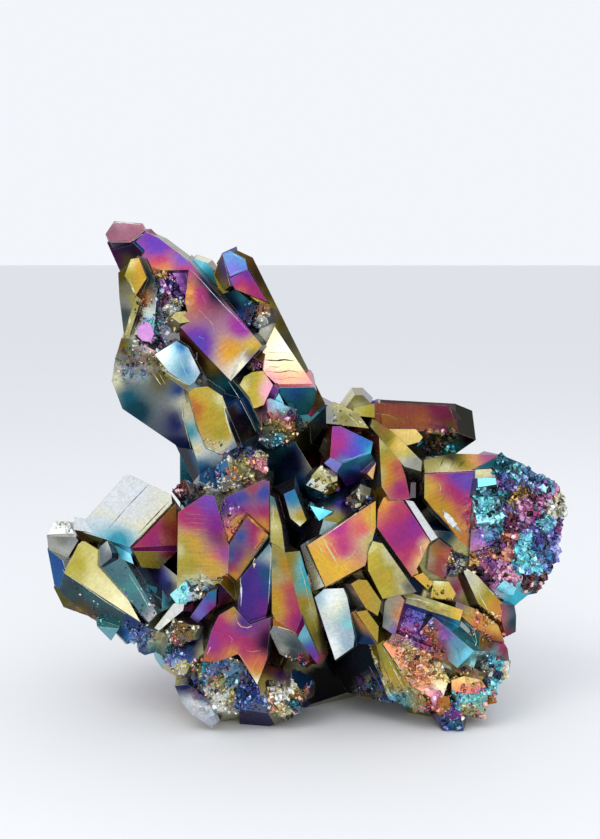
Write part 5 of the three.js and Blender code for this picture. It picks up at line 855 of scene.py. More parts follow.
# Patches of fine crystals: x, z in the middle, radius, how many, mean size, share of flat flakes.
DRUSE_PATCHES = [
    (18.9, 17.4, 3.4, 950, 0.23, 0.3),
    (19.2, 14.0, 2.9, 700, 0.23, 0.3),
    (18.0, 20.2, 1.9, 240, 0.22, 0.2),
    (15.2, 18.6, 1.4, 110, 0.22, 0.9),
    (15.2, 16.6, 1.2, 50, 0.22, 0.9),
    (16.1, 13.2, 1.8, 230, 0.23, 0.5),
    (16.4, 20.9, 1.1, 60, 0.25, 0.3),
    (-11.7, 36.2, 1.6, 150, 0.20, 0.2),
    (-12.9, 34.6, 1.5, 80, 0.16, 0.6),
    (-12.2, 32.6, 1.2, 90, 0.15, 0.5),
    (-14.5, 30.4, 1.6, 190, 0.12, 0.7),
    (-12.6, 30.0, 0.9, 60, 0.13, 0.7),
    (-14.4, 34.6, 1.0, 40, 0.12, 0.6),
    (-15.8, 41.95, 0.7, 34, 0.17, 0.5),
    (-14.5, 41.95, 0.8, 40, 0.17, 0.5),
    (-5.2, 21.9, 1.7, 190, 0.19, 0.5),
    (-7.6, 20.6, 1.3, 90, 0.17, 0.6),
    (-9.8, 19.7, 1.0, 50, 0.16, 0.6),
    (-4.0, 22.7, 1.1, 70, 0.19, 0.5),
    (-2.3, 24.5, 1.5, 130, 0.18, 0.4),
    (-0.4, 24.6, 0.9, 34, 0.14, 0.5),
    (-4.0, 34.0, 1.1, 70, 0.15, 0.5),
    (-5.2, 34.0, 0.8, 26, 0.16, 0.5),
    (-4.5, 30.1, 0.6, 44, 0.14, 0.3),
    (-7.4, 23.1, 0.7, 34, 0.12, 0.6),
    (-6.7, 18.3, 0.9, 60, 0.15, 0.6),
    (-9.3, 12.2, 1.4, 120, 0.15, 0.7),
    (-7.0, 12.9, 0.6, 26, 0.15, 0.4),
    (-10.6, 8.6, 1.7, 120, 0.18, 0.5),
    (-11.0, 6.0, 1.3, 120, 0.15, 0.4),
    (-8.9, 5.6, 1.0, 60, 0.16, 0.4),
    (-7.0, 4.8, 1.9, 260, 0.15, 0.4),
    (-5.2, 3.0, 1.5, 150, 0.17, 0.4),
    (-2.0, 2.6, 1.5, 120, 0.22, 0.4),
    (-0.5, 3.2, 0.9, 60, 0.20, 0.4),
    (-0.9, 5.8, 1.3, 50, 0.15, 0.8),
    (-13.9, 7.9, 1.1, 80, 0.18, 0.4),
    (-18.7, 8.6, 1.3, 80, 0.20, 0.4),
    (-17.5, 10.6, 1.6, 70, 0.09, 0.7),
    (-14.6, 12.0, 1.5, 60, 0.10, 0.7),
    (-20.4, 16.6, 0.7, 24, 0.13, 0.7),
    (0.9, 18.6, 1.6, 50, 0.16, 0.6),
    (1.6, 20.4, 1.2, 60, 0.15, 0.5),
    (4.2, 18.9, 1.0, 40, 0.18, 0.4),
    (6.4, 21.4, 0.5, 20, 0.14, 0.4),
    (12.6, 13.5, 0.9, 100, 0.17, 0.2),
    (9.0, 8.0, 1.3, 120, 0.16, 0.5),
    (10.7, 7.8, 0.9, 50, 0.17, 0.4),
    (14.8, 9.0, 1.5, 110, 0.15, 0.4),
    (16.6, 7.4, 0.8, 40, 0.14, 0.5),
    (10.0, 5.8, 1.5, 150, 0.18, 0.3),
    (8.6, 5.6, 1.2, 90, 0.15, 0.4),
    (8.3, 3.4, 1.5, 120, 0.14, 0.7),
    (5.6, 4.8, 1.3, 150, 0.13, 0.9),
    (6.2, 3.0, 1.0, 90, 0.13, 0.8),
    (10.8, 2.4, 1.3, 110, 0.17, 0.4),
    (12.0, 0.9, 0.8, 40, 0.18, 0.4),
    (13.6, 2.4, 1.5, 190, 0.16, 0.3),
    (15.6, 2.8, 0.8, 50, 0.16, 0.4),
    (15.9, 5.0, 1.3, 140, 0.18, 0.5),
    (13.4, 4.3, 1.0, 40, 0.15, 0.4),
    (11.4, 23.1, 1.6, 70, 0.22, 0.1),
    (10.6, 11.6, 0.8, 24, 0.13, 0.4),
    (3.4, 25.6, 1.0, 30, 0.12, 0.5),
]


# ---------------------------------------------------------------- arrays: mesh, noise, film


def welded(node):
    """The node's loose triangles with their shared corners joined, as points in mm and index triples."""
    bm = bmesh.new()
    bm.from_mesh(node.data)
    bmesh.ops.remove_doubles(bm, verts=bm.verts, dist=1e-6)
    bmesh.ops.dissolve_limit(bm, angle_limit=math.radians(0.4), verts=bm.verts, edges=bm.edges)
    bmesh.ops.triangulate(bm, faces=bm.faces, quad_method="BEAUTY", ngon_method="BEAUTY")
    mesh = bpy.data.meshes.new("welded")
    bm.to_mesh(mesh)
    bm.free()
    points = np.empty(len(mesh.vertices) * 3)
    mesh.vertices.foreach_get("co", points)
    tris = np.empty(len(mesh.polygons) * 3, dtype=int)
    mesh.polygons.foreach_get("vertices", tris)
    bpy.data.meshes.remove(mesh)
    return points.reshape(-1, 3) / MM, tris.reshape(-1, 3)


def normals_of(points, tris):
    """Unit normals and areas: half the cross product of two sides of each triangle."""
    a, b, c = (points[tris[:, k]] for k in range(3))
    cross = np.cross(b - a, c - a)
    length = np.linalg.norm(cross, axis=1)
    return cross / np.maximum(length, 1e-12)[:, None], length / 2


def sides_of(tris):
    """The sides of the triangles as sorted corner pairs, each once, and every triangle's rows in that list."""
    sides = np.sort(tris[:, [[0, 1], [1, 2], [2, 0]]], axis=2).reshape(-1, 2)
    unique, back = np.unique(sides, axis=0, return_inverse=True)
    return unique, back.reshape(-1, 3)


def facets_of(points, tris):
    """Numbers the flat faces: across a shared side that turns under FLAT_TURN the lower number spreads."""
    normal, _ = normals_of(points, tris)
    _, back = sides_of(tris)
    order = np.argsort(back.ravel(), kind="stable")
    row = back.ravel()[order]
    owner = order // 3
    pair = np.flatnonzero(row[1:] == row[:-1])
    a, b = owner[pair], owner[pair + 1]
    flat = np.einsum("ij,ij->i", normal[a], normal[b]) > math.cos(math.radians(FLAT_TURN))
    a, b = a[flat], b[flat]
    label = np.arange(len(tris))
    while True:
        low = np.minimum(label[a], label[b])
        new = label.copy()
        np.minimum.at(new, a, low)
        np.minimum.at(new, b, low)
        new = new[new]
        if (new == label).all():
            break
        label = new
    return np.unique(label, return_inverse=True)[1]


def refined(points, tris, facet, longest):
    """Halves each side longer than longest(middle), so a triangle becomes 1 to 4, until no side is too long."""
    turn = np.arange(3)
    for _ in range(9):
        side, back = sides_of(tris)
        ends = points[side]
        middle = ends.mean(axis=1)
        cut = np.linalg.norm(ends[:, 0] - ends[:, 1], axis=1) > longest(middle)
        if not cut.any():
            break
        new_id = np.full(len(side), -1)
        new_id[cut] = len(points) + np.arange(cut.sum())
        points = np.concatenate([points, middle[cut]])
        m = new_id[back]
        count = (m >= 0).sum(axis=1)
        first = np.where(count == 2, np.argmin(m, axis=1) + 1, np.argmax(m >= 0, axis=1))
        roll = (first[:, None] + turn) % 3
        t = np.take_along_axis(tris, roll, axis=1)
        m = np.take_along_axis(m, roll, axis=1)
        children = {
            0: [[0, 1, 2]],
            1: [[0, 3, 2], [3, 1, 2]],
            2: [[3, 1, 4], [0, 3, 4], [0, 4, 2]],
            3: [[0, 3, 5], [3, 1, 4], [5, 4, 2], [3, 4, 5]],
        }
        six = np.concatenate([t, m], axis=1)
        parts = [(six[count == k][:, c], facet[count == k]) for k, rows in children.items() for c in rows]
        tris = np.concatenate([p[0] for p in parts])
        facet = np.concatenate([p[1] for p in parts])
    return points, tris, facet


def hashed(cells, seed):
    """A repeatable number from 0 to 1 per integer cell: the far decimals of the sine of a weighted sum."""
    mix = cells @ np.array([127.1, 311.7, 74.7]) + seed * 53.9
    return np.modf(np.abs(np.sin(mix) * 43758.5453))[0]


def smooth_noise(points, scale, seed):
    """Noise from -1 to 1 that changes over about `scale` mm: cell corner values blended by a smooth step."""
    p = points / scale
    cell = np.floor(p)
    f = p - cell
    f = f * f * (3 - 2 * f)
    total = np.zeros(len(p))
    for corner in np.ndindex(2, 2, 2):
        c = np.array(corner)
        weight = np.prod(np.where(c == 1, f, 1 - f), axis=1)
        total += weight * hashed(cell + c, seed)
    return total * 2 - 1


def cell_noise(points, scale, seed):
    """Distance to the nearest of one scattered seed point per cell, in cells, and that seed's own number."""
    p = points / scale
    cell = np.floor(p)
    near = np.full(len(p), 9.0)
    own = np.zeros(len(p))
    for shift in np.ndindex(3, 3, 3):
        c = cell + np.array(shift) - 1
        centre = c + np.stack([hashed(c, seed + k) for k in range(3)], axis=1)
        away = np.linalg.norm(p - centre, axis=1)
        closer = away < near
        near = np.where(closer, away, near)
        own = np.where(closer, hashed(c, seed + 7), own)
    return near, own


def crust_at(points):
    """How crusty the surface is: 0 on clean faces, up to the patch's strength in the middle of a crust.

    The distance to a patch's middle is counted in its radii, in y in 1.4 radii. It is full strength inside
    0.85 and falls evenly to nothing at 1.15, and where patches meet the stronger one counts.
    """
    crust = np.zeros(len(points))
    for x, y, z, radius, depth in CRUSTS:
        away = np.linalg.norm((points - (x, y, z)) / (radius, radius * 1.4, radius), axis=1)
        crust = np.maximum(crust, np.clip((1.15 - away) / 0.3, 0, 1) * depth)
    return crust


def land_marks(tree, facet, tables):
    """Every mark as its point on the surface, film, tone and the face it lies on."""
    spots = []
    for table in tables:
        for rows in table.values():
            for x, z, film, tone in rows:
                found = seen_point(tree, x, z)
                if found:
                    spots.append((*found[0], film, tone, facet[found[2]]))
    return np.array(spots)


def srgb(colour):
    """An sRGB colour in 0..255 as linear light with full alpha."""
    c = np.array(colour) / 255
    linear = np.where(c <= 0.04045, c / 12.92, ((c + 0.055) / 1.055) ** 2.4)
    return (*linear.tolist(), 1.0)


def shown(film, tone):
    """The linear colour of a film.

    It is the ramp at the film's thickness. A tone under 0.5 darkens it by a power of the tone. A tone over
    0.5 first lifts it, the more the purer its colour, and then mixes it towards white.
    """
    at = np.array([row[0] for row in FILM_COLOURS])
    ramp = np.array([srgb(row[1])[:3] for row in FILM_COLOURS])
    colour = np.stack([np.interp(film, at, ramp[:, k]) for k in range(3)], axis=-1)
    dark = np.clip(tone * 2, 0, 1) ** 2.1
    pale = (np.clip(tone * 2 - 1, 0, 1) ** 1.25)[..., None]
    purity = 1 - colour.min(axis=-1, keepdims=True) / colour.max(axis=-1, keepdims=True)
    colour = colour * dark[..., None] * (1 + 2.2 * pale * purity)
    return colour + (np.array([0.93, 0.95, 0.97]) - colour) * pale * (1 - 0.45 * purity)


def film_of_bare_faces(corner, corner_facet, middle, shift, glow, spots, rng):
    """Film colour at the corners of faces without marks.

    It is a mean of the colours of the marks near the face's middle, made darker by chance, and far from all
    marks the face's own film, which shifts along one direction of it.
    """
    count = len(middle)
    away = np.linalg.norm(middle[:, None] - spots[None, :, :3], axis=2)
    near = 1 / (away + 0.35) ** 4
    near /= near.sum(axis=1)[:, None]
    borrowed = near @ shown(spots[:, 3], spots[:, 4])
    borrowed *= rng.uniform(0.25, 0.95, count)[:, None]
    trust = np.exp(-((away.min(axis=1) / 3.0) ** 2))[corner_facet][:, None]
    own_film = OWN_FILMS[rng.integers(0, len(OWN_FILMS), count)] + rng.uniform(-0.05, 0.05, count)
    own_tone = rng.uniform(0.34, 0.54, count)
    slope = rng.normal(0, 0.030, (count, 3))
    drift = np.einsum("ij,ij->i", corner - middle[corner_facet], slope[corner_facet])
    drift = np.clip(drift, -0.2, 0.2) + shift
    own = shown(np.clip(own_film[corner_facet] + drift, 0, 1), own_tone[corner_facet] + glow)
    return borrowed[corner_facet] * trust + own * (1 - trust)


def film_between_marks(corner, marks, shift, glow):
    """Film colour at the corners of one face with marks.

    The marks count by one over their distance to the power 3.4. Where their films are alike the colour is
    that of their mean film, so bands follow the ramp from one mark to the next. Where they differ it is the
    mean of their colours.
    """
    gap = np.linalg.norm(corner[:, None] - marks[None, :, :3], axis=2)
    weight = 1 / (gap**2 + 0.25) ** 1.7
    weight /= weight.sum(axis=1)[:, None]
    film = np.clip(marks[None, :, 3] + shift[:, None], 0, THICKEST)
    tone = marks[None, :, 4] + glow[:, None]
    mixed = np.einsum("ij,ijk->ik", weight, shown(film, tone))
    mean_film = (weight * film).sum(axis=1)
    unlike = (weight * np.abs(film - mean_film[:, None])).sum(axis=1)
    alike = np.clip(1.6 - unlike / 0.11, 0, 1)[:, None]
    return mixed + (shown(mean_film, (weight * tone).sum(axis=1)) - mixed) * alike


def colour_by_marks(corner, corner_facet, spots, rng):
    """Film colour at every triangle corner; slow noise makes the film a little thicker or thinner."""
    count = corner_facet.max() + 1
    shift = 0.018 * smooth_noise(corner, 1.6, 21) + 0.014 * smooth_noise(corner, 0.6, 22)
    glow = 0.014 * smooth_noise(corner, 0.9, 23)
    middle = np.stack([np.bincount(corner_facet, corner[:, k], count) for k in range(3)], axis=1)
    middle /= np.maximum(np.bincount(corner_facet, minlength=count), 1)[:, None]
    colour = film_of_bare_faces(corner, corner_facet, middle, shift, glow, spots, rng)
    for one in np.unique(spots[:, 5]).astype(int):
        here = np.flatnonzero(corner_facet == one)
        colour[here] = film_between_marks(corner[here], spots[spots[:, 5] == one], shift[here], glow[here])
    return np.clip(colour, 0.001, 0.97)


def mesh_object(name, points, tris, film, grain, along):
    """A mesh object in metres, with the film's colour and grain on its corners and its growth as a UV map."""
    mesh = bpy.data.meshes.new(name)
    mesh.from_pydata((points * MM).tolist(), [], tris.tolist())
    colour = mesh.attributes.new("film", "FLOAT_COLOR", "CORNER")
    packed = np.concatenate([film, grain[:, None]], axis=1)
    colour.data.foreach_set("color", packed.ravel().astype(np.float32))
    layer = mesh.uv_layers.new(name="growth")
    layer.data.foreach_set("uv", along.ravel().astype(np.float32))
    obj = bpy.data.objects.new(name, mesh)
    bpy.context.scene.collection.objects.link(obj)
    return obj


def growth_lines(points, tris, facet):
    """A map per flat face: v runs along its longest direction, u across it, so growth lines can follow it.

    The longest direction is the strongest axis of the face's spread about its middle, weighted by area. Each
    face's v starts at a whole number of its own, so that its lines differ from its neighbour's.
    """
    normal, area = normals_of(points, tris)
    count = facet.max() + 1
    centre = points[tris].mean(axis=1)
    weight = np.bincount(facet, area, count)
    weight = np.maximum(weight, 1e-9)
    middle = np.stack([np.bincount(facet, area * centre[:, k], count) for k in range(3)], axis=1)
    middle /= weight[:, None]
    off = centre - middle[facet]
    spread = np.zeros((count, 3, 3))
    for i, j in np.ndindex(3, 3):
        spread[:, i, j] = np.bincount(facet, area * off[:, i] * off[:, j], count) / weight
    axis = np.linalg.eigh(spread)[1][:, :, 2]
    mean_normal = np.stack([np.bincount(facet, area * normal[:, k], count) for k in range(3)], axis=1)
    mean_normal /= np.maximum(np.linalg.norm(mean_normal, axis=1), 1e-9)[:, None]
    across = np.cross(axis, mean_normal)
    corner = points[tris].reshape(-1, 3)
    own = np.repeat(facet, 3)
    rel = corner - middle[own]
    u = np.einsum("ij,ij->i", rel, across[own])
    v = np.einsum("ij,ij->i", rel, axis[own])
    return np.stack([u, v + own % 17], axis=1)


# ---------------------------------------------------------------- lines and fine crystals


def seen_point(tree, x, z):
    """Where a line along Y at x, z first meets a face open to the camera: its point, normal and triangle."""
    start = Vector((x, -40.0, z))
    fallback = None
    for _ in range(6):
        hit, normal, index, _ = tree.ray_cast(start, Vector((0, 1, 0)))
        if hit is None:
            break
        sight = (EYE - hit).normalized()
        if normal.dot(sight) > 0:
            fallback = fallback or (hit, normal, index)
            if tree.ray_cast(hit + sight * 0.02, sight)[0] is None:
                return hit, normal, index
        start = hit + Vector((0, 0.01, 0))
    return fallback


def ridges(tree, rng):
    """Low ridges along the drawn lines, some of them painted glints and painted shade along cracks.

    At every step a line gets a foot point half a width to each side, sunk a little, and a crest between them.
    The width wanders by a third, the ends run to a point, and a line breaks where the face falls away.
    """
    sunk = 0.01
    points, tris, film = [], [], []
    for thickness, tone, width, path in LINES:
        steps = [np.linspace(a, b, max(2, int(math.dist(a, b) / 0.22))) for a, b in zip(path, path[1:])]
        run = [seen_point(tree, *place) for place in np.concatenate(steps)]
        run = [r for r in run if r]
        total = len(run)
        previous = None
        for k, (hit, normal, _) in enumerate(run):
            ahead = run[min(k + 1, total - 1)][0] - run[max(k - 1, 0)][0]
            side = normal.cross(ahead)
            if side.length < 1e-6:
                continue
            side.normalize()
            taper = min(1.0, 0.25 + 2.5 * min(k, total - 1 - k) / total)
            reach = side * (width * 0.5 * taper * rng.uniform(0.65, 1.3))
            row = len(points)
            crest = hit + normal * (0.02 + width * 0.12)
            points += [hit - reach - normal * sunk, crest, hit + reach - normal * sunk]
            if previous is not None and (hit - points[previous + 1]).length < 0.6:
                p = previous
                tris += [(p, p + 1, row), (row, p + 1, row + 1)]
                tris += [(p + 1, p + 2, row + 1), (row + 1, p + 2, row + 2)]
                varied = thickness + rng.uniform(-0.03, 0.03)
                colour = shown(np.array(varied), np.array(tone + rng.uniform(-0.06, 0.06)))
                film += [colour] * 4
            previous = row
    return np.array(points), np.array(tris), np.repeat(np.array(film), 3, axis=0)


def crystal_shape():
    """A stubby six-sided crystal: a ring at the foot, a ring at the shoulder, and an off-centre tip."""
    turn = np.arange(6) / 6 * 2 * np.pi
    ring = np.stack([np.cos(turn), np.sin(turn)], axis=1)
    foot = np.column_stack([ring, np.full(6, -0.5)])
    shoulder = np.column_stack([ring * 0.86, np.full(6, 0.55)])
    points = np.concatenate([foot, shoulder, [[0.12, 0.05, 1.15]]])
    a = np.arange(6)
    b = (a + 1) % 6
    walls = np.concatenate([np.stack([a, b, b + 6], axis=1), np.stack([a, b + 6, a + 6], axis=1)])
    roof = np.stack([a + 6, b + 6, np.full(6, 12)], axis=1)
    return points, np.concatenate([walls, roof])


def grains(foot, upright, size, flat_share, shape, rng):
    """One patch's crystals: each leans from the upright, has its own size and is a flake by chance.

    A corner is the foot plus its share of three crossed directions times the crystal's width, depth and
    height, and is then drawn in or pushed out at random.
    """
    amount = len(foot)
    axis = upright + rng.normal(0, 0.45, (amount, 3))
    axis /= np.linalg.norm(axis, axis=1)[:, None]
    across = np.cross(axis, rng.normal(0, 1, (amount, 3)))
    across /= np.linalg.norm(across, axis=1)[:, None]
    third = np.cross(axis, across)
    wide = size * np.minimum(rng.lognormal(-0.05, 0.42, amount), 1.7)
    flat = rng.random(amount) < flat_share
    tall = wide * np.where(flat, rng.uniform(0.15, 0.35, amount), rng.uniform(0.6, 1.1, amount))
    deep = wide * np.where(flat, rng.uniform(0.3, 0.7, amount), rng.uniform(0.7, 1.0, amount))
    body = (
        shape[None, :, 0, None] * (across * wide[:, None])[:, None]
        + shape[None, :, 1, None] * (third * deep[:, None])[:, None]
        + shape[None, :, 2, None] * (axis * tall[:, None])[:, None]
        + foot[:, None]
    )
    body += (body - foot[:, None]) * rng.uniform(-0.35, 0.25, (amount, len(shape), 1))
    return body


def grain_films(foot, sides, spots, rng):
    """The colour of every side of one patch's crystals.

    A crystal takes the film of the nearest mark or, three times in ten, the mean of all marks weighted by one
    over distance to the fourth. A few are pale as a painted glint and a few dark as painted shade, more of the
    dark ones in a thick crust, and every side gets a painted glint, a little lighter or darker.
    """
    amount = len(foot)
    gap = np.linalg.norm(foot[:, None] - spots[None, :, :3], axis=2)
    weight = 1 / (gap + 0.15) ** 4
    mean_film = weight @ spots[:, 3:5] / weight.sum(axis=1)[:, None]
    nearest = gap.argmin(axis=1)
    film = np.where(rng.random(amount) < 0.7, spots[nearest, 3], mean_film[:, 0])
    film = np.clip(film + rng.normal(0, 0.03, amount), 0, THICKEST)
    tone = spots[nearest, 4] + rng.normal(0, 0.11, amount)
    # Painted glints make a few crystals pale; painted shade makes a few dark, more of them in a thick crust.
    tone = np.where(rng.random(amount) < 0.08, GLINT_GRAIN_TONE, tone)
    shaded_share = 0.10 if amount > THICK_CRUST else 0.02
    tone = np.where(rng.random(amount) < shaded_share, SHADED_GRAIN_TONE, tone)
    glint = rng.normal(0, 0.09, (amount, sides))
    return shown(film[:, None] + np.zeros((1, sides)), np.clip(tone[:, None] + glint, 0.05, 1))


def druse(points, tris, tree, spots, rng):
    """Fine crystals strewn over patches of the surface, their feet drawn in proportion to triangle area."""
    shape, faces = crystal_shape()
    normal, area = normals_of(points, tris)
    centre = points[tris].mean(axis=1)
    bodies, films = [], []
    for x, z, radius, amount, size, flat_share in DRUSE_PATCHES:
        found = seen_point(tree, x, z)
        if found is None:
            continue
        away = np.linalg.norm(centre - np.array(found[0]), axis=1)
        chance = np.where(away < radius, area, 0)
        if chance.sum() == 0:
            continue
        pick = rng.choice(len(tris), amount, p=chance / chance.sum())
        share = rng.dirichlet((1, 1, 1), amount)
        foot = np.einsum("ij,ijk->ik", share, points[tris[pick]])
        bodies.append(grains(foot, normal[pick], size, flat_share, shape, rng))
        films.append(grain_films(foot, len(faces), spots, rng))
    body = np.concatenate(bodies)
    film = np.concatenate(films).reshape(-1, 3)
    start = np.arange(len(body)) * len(shape)
    index = (start[:, None, None] + faces[None]).reshape(-1, 3)
    return body.reshape(-1, 3), index, np.repeat(film, 3, axis=0)


# ---------------------------------------------------------------- finish


def aura_film(name, roughness, metal):
    """The metal film: a ramp of interference colours read by thickness, darkened or whitened by tone."""
    material = bpy.data.materials.new(name)
    material.use_nodes = True
    tree = material.node_tree
    tree.nodes.clear()

    def node(kind, **values):
        made = tree.nodes.new(kind)
        for key, value in values.items():
            setattr(made, key, value)
        return made

    def link(source, target):
        tree.links.new(source, target)

    def maths(operation, a, b=None, clamp=False):
        made = node("ShaderNodeMath", operation=operation, use_clamp=clamp)
        for socket, value in zip(made.inputs, (a, b)):
            if value is None:
                continue
            if isinstance(value, (int, float)):
                socket.default_value = value
            else:
                link(value, socket)
        return made.outputs[0]

    def mix(factor, a, b, blend="MIX"):
        made = node("ShaderNodeMix", data_type="RGBA", blend_type=blend)
        for socket, value in ((made.inputs[0], factor), (made.inputs[6], a), (made.inputs[7], b)):
            if isinstance(value, (int, float, tuple)):
                socket.default_value = value
            else:
                link(value, socket)
        return made.outputs[2]

    def noise(vector, scale, detail=3.0, rough=0.55):
        made = node("ShaderNodeTexNoise")
        made.inputs["Scale"].default_value = scale
        made.inputs["Detail"].default_value = detail
        made.inputs["Roughness"].default_value = rough
        link(vector, made.inputs["Vector"])
        return made.outputs["Fac"]

    place = node("ShaderNodeTexCoord").outputs["Object"]
    growth = node("ShaderNodeUVMap", uv_map="growth").outputs["UV"]
    stored = node("ShaderNodeAttribute", attribute_name="film")
    grain = stored.outputs["Alpha"]

    stretch = node("ShaderNodeMapping")
    stretch.inputs["Scale"].default_value = (0.35, 9.0, 1.0)
    link(growth, stretch.inputs["Vector"])
    lines = noise(stretch.outputs[0], 1.0, 4.0, 0.6)
    cloud = noise(place, 900.0, 4.0, 0.6)
    fine = noise(place, 3800.0, 3.0, 0.6)

    tint = node("ShaderNodeHueSaturation")
    link(maths("ADD", maths("MULTIPLY", maths("SUBTRACT", lines, 0.5), 0.07), 0.5), tint.inputs["Hue"])
    tint.inputs["Saturation"].default_value = 1.0
    speck = maths("MULTIPLY", maths("SUBTRACT", fine, 0.5), maths("ADD", maths("MULTIPLY", grain, 1.6), 0.15))
    streak = maths("MULTIPLY", maths("SUBTRACT", lines, 0.5), 0.35)
    link(maths("ADD", maths("ADD", speck, streak), 1.0), tint.inputs["Value"])
    link(stored.outputs["Color"], tint.inputs["Color"])
    colour = tint.outputs[0]

    bevel = node("ShaderNodeBevel", samples=4)
    bevel.inputs["Radius"].default_value = 0.07 * MM
    face = node("ShaderNodeNewGeometry")
    bend = node("ShaderNodeVectorMath", operation="DOT_PRODUCT")
    link(bevel.outputs[0], bend.inputs[0])
    link(face.outputs["Normal"], bend.inputs[1])
    # Pale rims on the edges where the cloud noise allows them: partly edge wear, partly a painted highlight
    # along the edges.
    edge = maths("MULTIPLY", maths("SUBTRACT", 0.985, bend.outputs["Value"]), 5.0, True)
    pale_rim_wear_and_highlight = maths("MULTIPLY", edge, maths("MULTIPLY", cloud, 0.55, True), True)
    colour = mix(pale_rim_wear_and_highlight, colour, (0.80, 0.84, 0.84, 1))

    relief = node("ShaderNodeBump")
    relief.inputs["Strength"].default_value = 0.30
    relief.inputs["Distance"].default_value = 0.02 * MM
    height = maths("ADD", maths("MULTIPLY", lines, 1.2), maths("MULTIPLY", cloud, 1.5))
    link(maths("ADD", height, maths("MULTIPLY", fine, grain)), relief.inputs["Height"])
    link(bevel.outputs[0], relief.inputs["Normal"])

    shader = node("ShaderNodeBsdfPrincipled")
    shader.inputs["Metallic"].default_value = metal
    shader.inputs["Coat Weight"].default_value = 0.06
    shader.inputs["Specular IOR Level"].default_value = 0.25
    shader.inputs["Coat Roughness"].default_value = 0.12
    link(colour, shader.inputs["Base Color"])
    clouded = maths("ADD", maths("MULTIPLY", cloud, 0.12), roughness)
    link(maths("ADD", maths("MULTIPLY", grain, 0.18), clouded), shader.inputs["Roughness"])
    link(relief.outputs[0], shader.inputs["Normal"])
    link(shader.outputs[0], node("ShaderNodeOutputMaterial").inputs[0])
    return material


def plain_material(name, colour, roughness):
    """A matt studio surface."""
    material = bpy.data.materials.new(name)
    material.use_nodes = True
    shader = material.node_tree.nodes["Principled BSDF"]
    shader.inputs["Base Color"].default_value = colour
    shader.inputs["Roughness"].default_value = roughness
    return material


# ---------------------------------------------------------------- studio

LIT_MIDDLE = Vector((0, 0, 20))
FLOOR_HALF = 2000
FLOOR_COLOUR = (0.80, 0.81, 0.82, 1)
SKY_COLOUR = (0.80, 0.82, 0.86, 1)
SKY_STRENGTH = 1.12


def soft_light(name, place, size, power, colour=(1, 1, 1), glints=False):
    """A square area light at place, turned to the cluster; with glints the crystals mirror it."""
    data = bpy.data.lights.new(name, "AREA")
    data.size = size * MM
    data.energy = power
    data.color = colour
    light = bpy.data.objects.new(name, data)
    light.location = Vector(place) * MM
    light.rotation_euler = (LIT_MIDDLE - Vector(place)).to_track_quat("-Z", "Y").to_euler()
    light.visible_glossy = glints
    bpy.context.scene.collection.objects.link(light)


def studio():
    """A pale floor under a pale sky, three soft lights, and the camera."""
    scene = bpy.context.scene
    scene.view_settings.view_transform = "Standard"
    world = bpy.data.worlds.new("pale sky")
    world.use_nodes = True
    sky = world.node_tree.nodes["Background"]
    sky.inputs["Color"].default_value = SKY_COLOUR
    sky.inputs["Strength"].default_value = SKY_STRENGTH
    scene.world = world
    soft_light("key", (-70, -90, 170), 90, 0.09, (1.0, 0.99, 0.96))
    soft_light("rim", (130, 60, 110), 80, 0.03, (0.95, 0.98, 1.0))
    soft_light("front", (0, -230, 125), 220, 0.14, glints=True)
    half = FLOOR_HALF * MM
    corners = [(-half, -half, 0), (half, -half, 0), (half, half, 0), (-half, half, 0)]
    mesh = bpy.data.meshes.new("floor")
    mesh.from_pydata(corners, [], [(0, 1, 2, 3)])
    mesh.materials.append(plain_material("pale paper", FLOOR_COLOUR, 0.7))
    floor = bpy.data.objects.new("floor", mesh)
    scene.collection.objects.link(floor)
    lens = bpy.data.cameras.new("camera")
    lens.sensor_width = SENSOR
    lens.lens = LENS
    lens.clip_start = 0.005
    camera = bpy.data.objects.new("camera", lens)
    camera.location = EYE * MM
    camera.rotation_euler = (math.radians(90 - EYE_PITCH), 0, 0)
    scene.collection.objects.link(camera)
    scene.camera = camera


# ---------------------------------------------------------------- the cluster


def step_at(middle):
    """The longest side a triangle may have there: FACE_STEP on clean faces, down to CRUST_STEP in a crust."""
    return FACE_STEP + (CRUST_STEP - FACE_STEP) * np.minimum(crust_at(middle), 1)


def in_cad_box(points):
    """The points, none of them outside the solid's box."""
    return np.clip(points, np.array(cad_low) / MM, np.array(cad_high) / MM)


def roughened(points, tris, crust):
    """Points pushed along their mean normal in a crust: out in each chip's middle, in at its rim."""
    near, _ = cell_noise(points, 0.55, 3)
    push = crust * (0.10 * (0.5 - near) + 0.07 * smooth_noise(points, 0.35, 5))
    normal, area = normals_of(points, tris)
    outward = np.stack([
        np.bincount(tris.ravel(), np.repeat(normal[:, k] * area, 3), len(points)) for k in range(3)
    ], axis=1)
    outward /= np.maximum(np.linalg.norm(outward, axis=1), 1e-9)[:, None]
    return in_cad_box(points + outward * push[:, None])


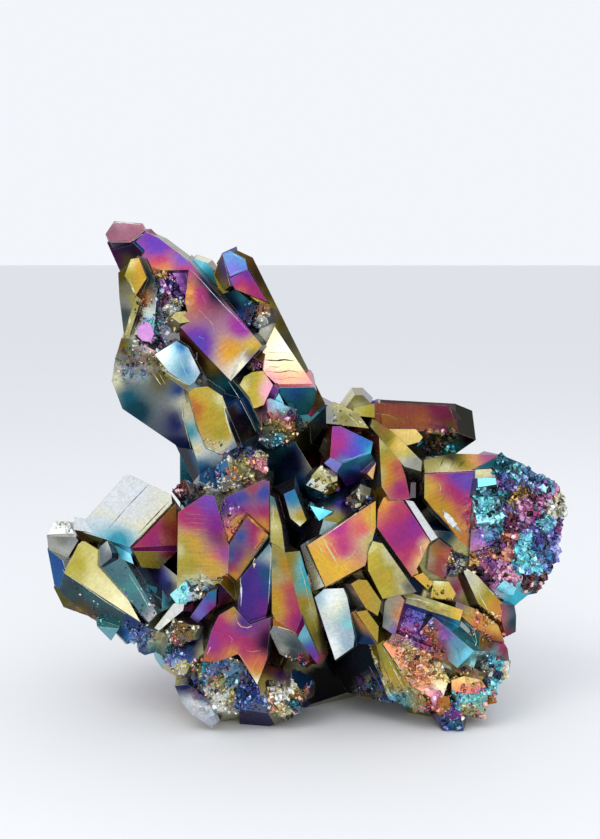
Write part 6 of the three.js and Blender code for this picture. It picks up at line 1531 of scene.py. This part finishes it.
def chipped(film, centre, crusty):
    """The film with every chip of a crust lighter or darker, and a quarter of its own film mixed in."""
    _, chip = cell_noise(centre, 0.5, 11)
    chip_film = shown(np.modf(chip * 7)[0], 0.3 + 0.45 * np.modf(chip * 31)[0])
    light = np.repeat(0.45 + 1.25 * np.modf(chip * 13)[0], 3)[:, None]
    mixed = film * light * 0.75 + np.repeat(chip_film, 3, axis=0) * 0.25
    return film + (mixed - film) * np.clip(np.repeat(crusty, 3)[:, None], 0, 1)


def cluster_skin(points, tris, facet, spots):
    """The whole cluster's surface: cut fine, its crusts roughened, its films laid on."""
    rng = np.random.default_rng(SEED)
    points, tris, facet = refined(points, tris, facet, step_at)
    film = colour_by_marks(points[tris].reshape(-1, 3), np.repeat(facet, 3), spots, rng)
    along = growth_lines(points, tris, facet)
    crust = crust_at(points)
    crusty = crust[tris].mean(axis=1)
    film = chipped(film, points[tris].mean(axis=1), crusty)
    grain = np.repeat(0.25 + 0.75 * crusty, 3)
    return mesh_object("cluster_skin", roughened(points, tris, crust), tris, film, grain, along)


def dress(obj, material):
    """Gives a piece of the cluster its material and its body."""
    obj.data.materials.append(material)
    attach(obj, "root")


rng = np.random.default_rng(SEED + 1)
solid_points, solid_tris = welded(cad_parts["quartz_cluster"])
solid_facet = facets_of(solid_points, solid_tris)
surface = BVHTree.FromPolygons(solid_points.tolist(), solid_tris.tolist())
marks = land_marks(surface, solid_facet, FILM_TABLES)

skin = cluster_skin(solid_points, solid_tris, solid_facet, marks)
dress(skin, aura_film("aura film", 0.17, 0.90))
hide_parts("quartz_cluster")

line_points, line_tris, line_film = ridges(surface, rng)
line_grain = np.full(len(line_film), 0.4)
line_uv = np.zeros((len(line_film), 2))
ridges_and_painted_light = mesh_object("ridges_and_painted_light", line_points, line_tris, line_film, line_grain, line_uv)
dress(ridges_and_painted_light, bpy.data.materials["aura film"])

grain_points, grain_tris, grain_film = druse(solid_points, solid_tris, surface, marks, rng)
grain_rough = np.full(len(grain_film), 0.3)
grain_uv = np.zeros((len(grain_film), 2))
fine_crystals = mesh_object(
    "fine_crystals", in_cad_box(grain_points), grain_tris, grain_film, grain_rough, grain_uv
)
dress(fine_crystals, aura_film("fine crystal film", 0.12, 0.85))

studio()
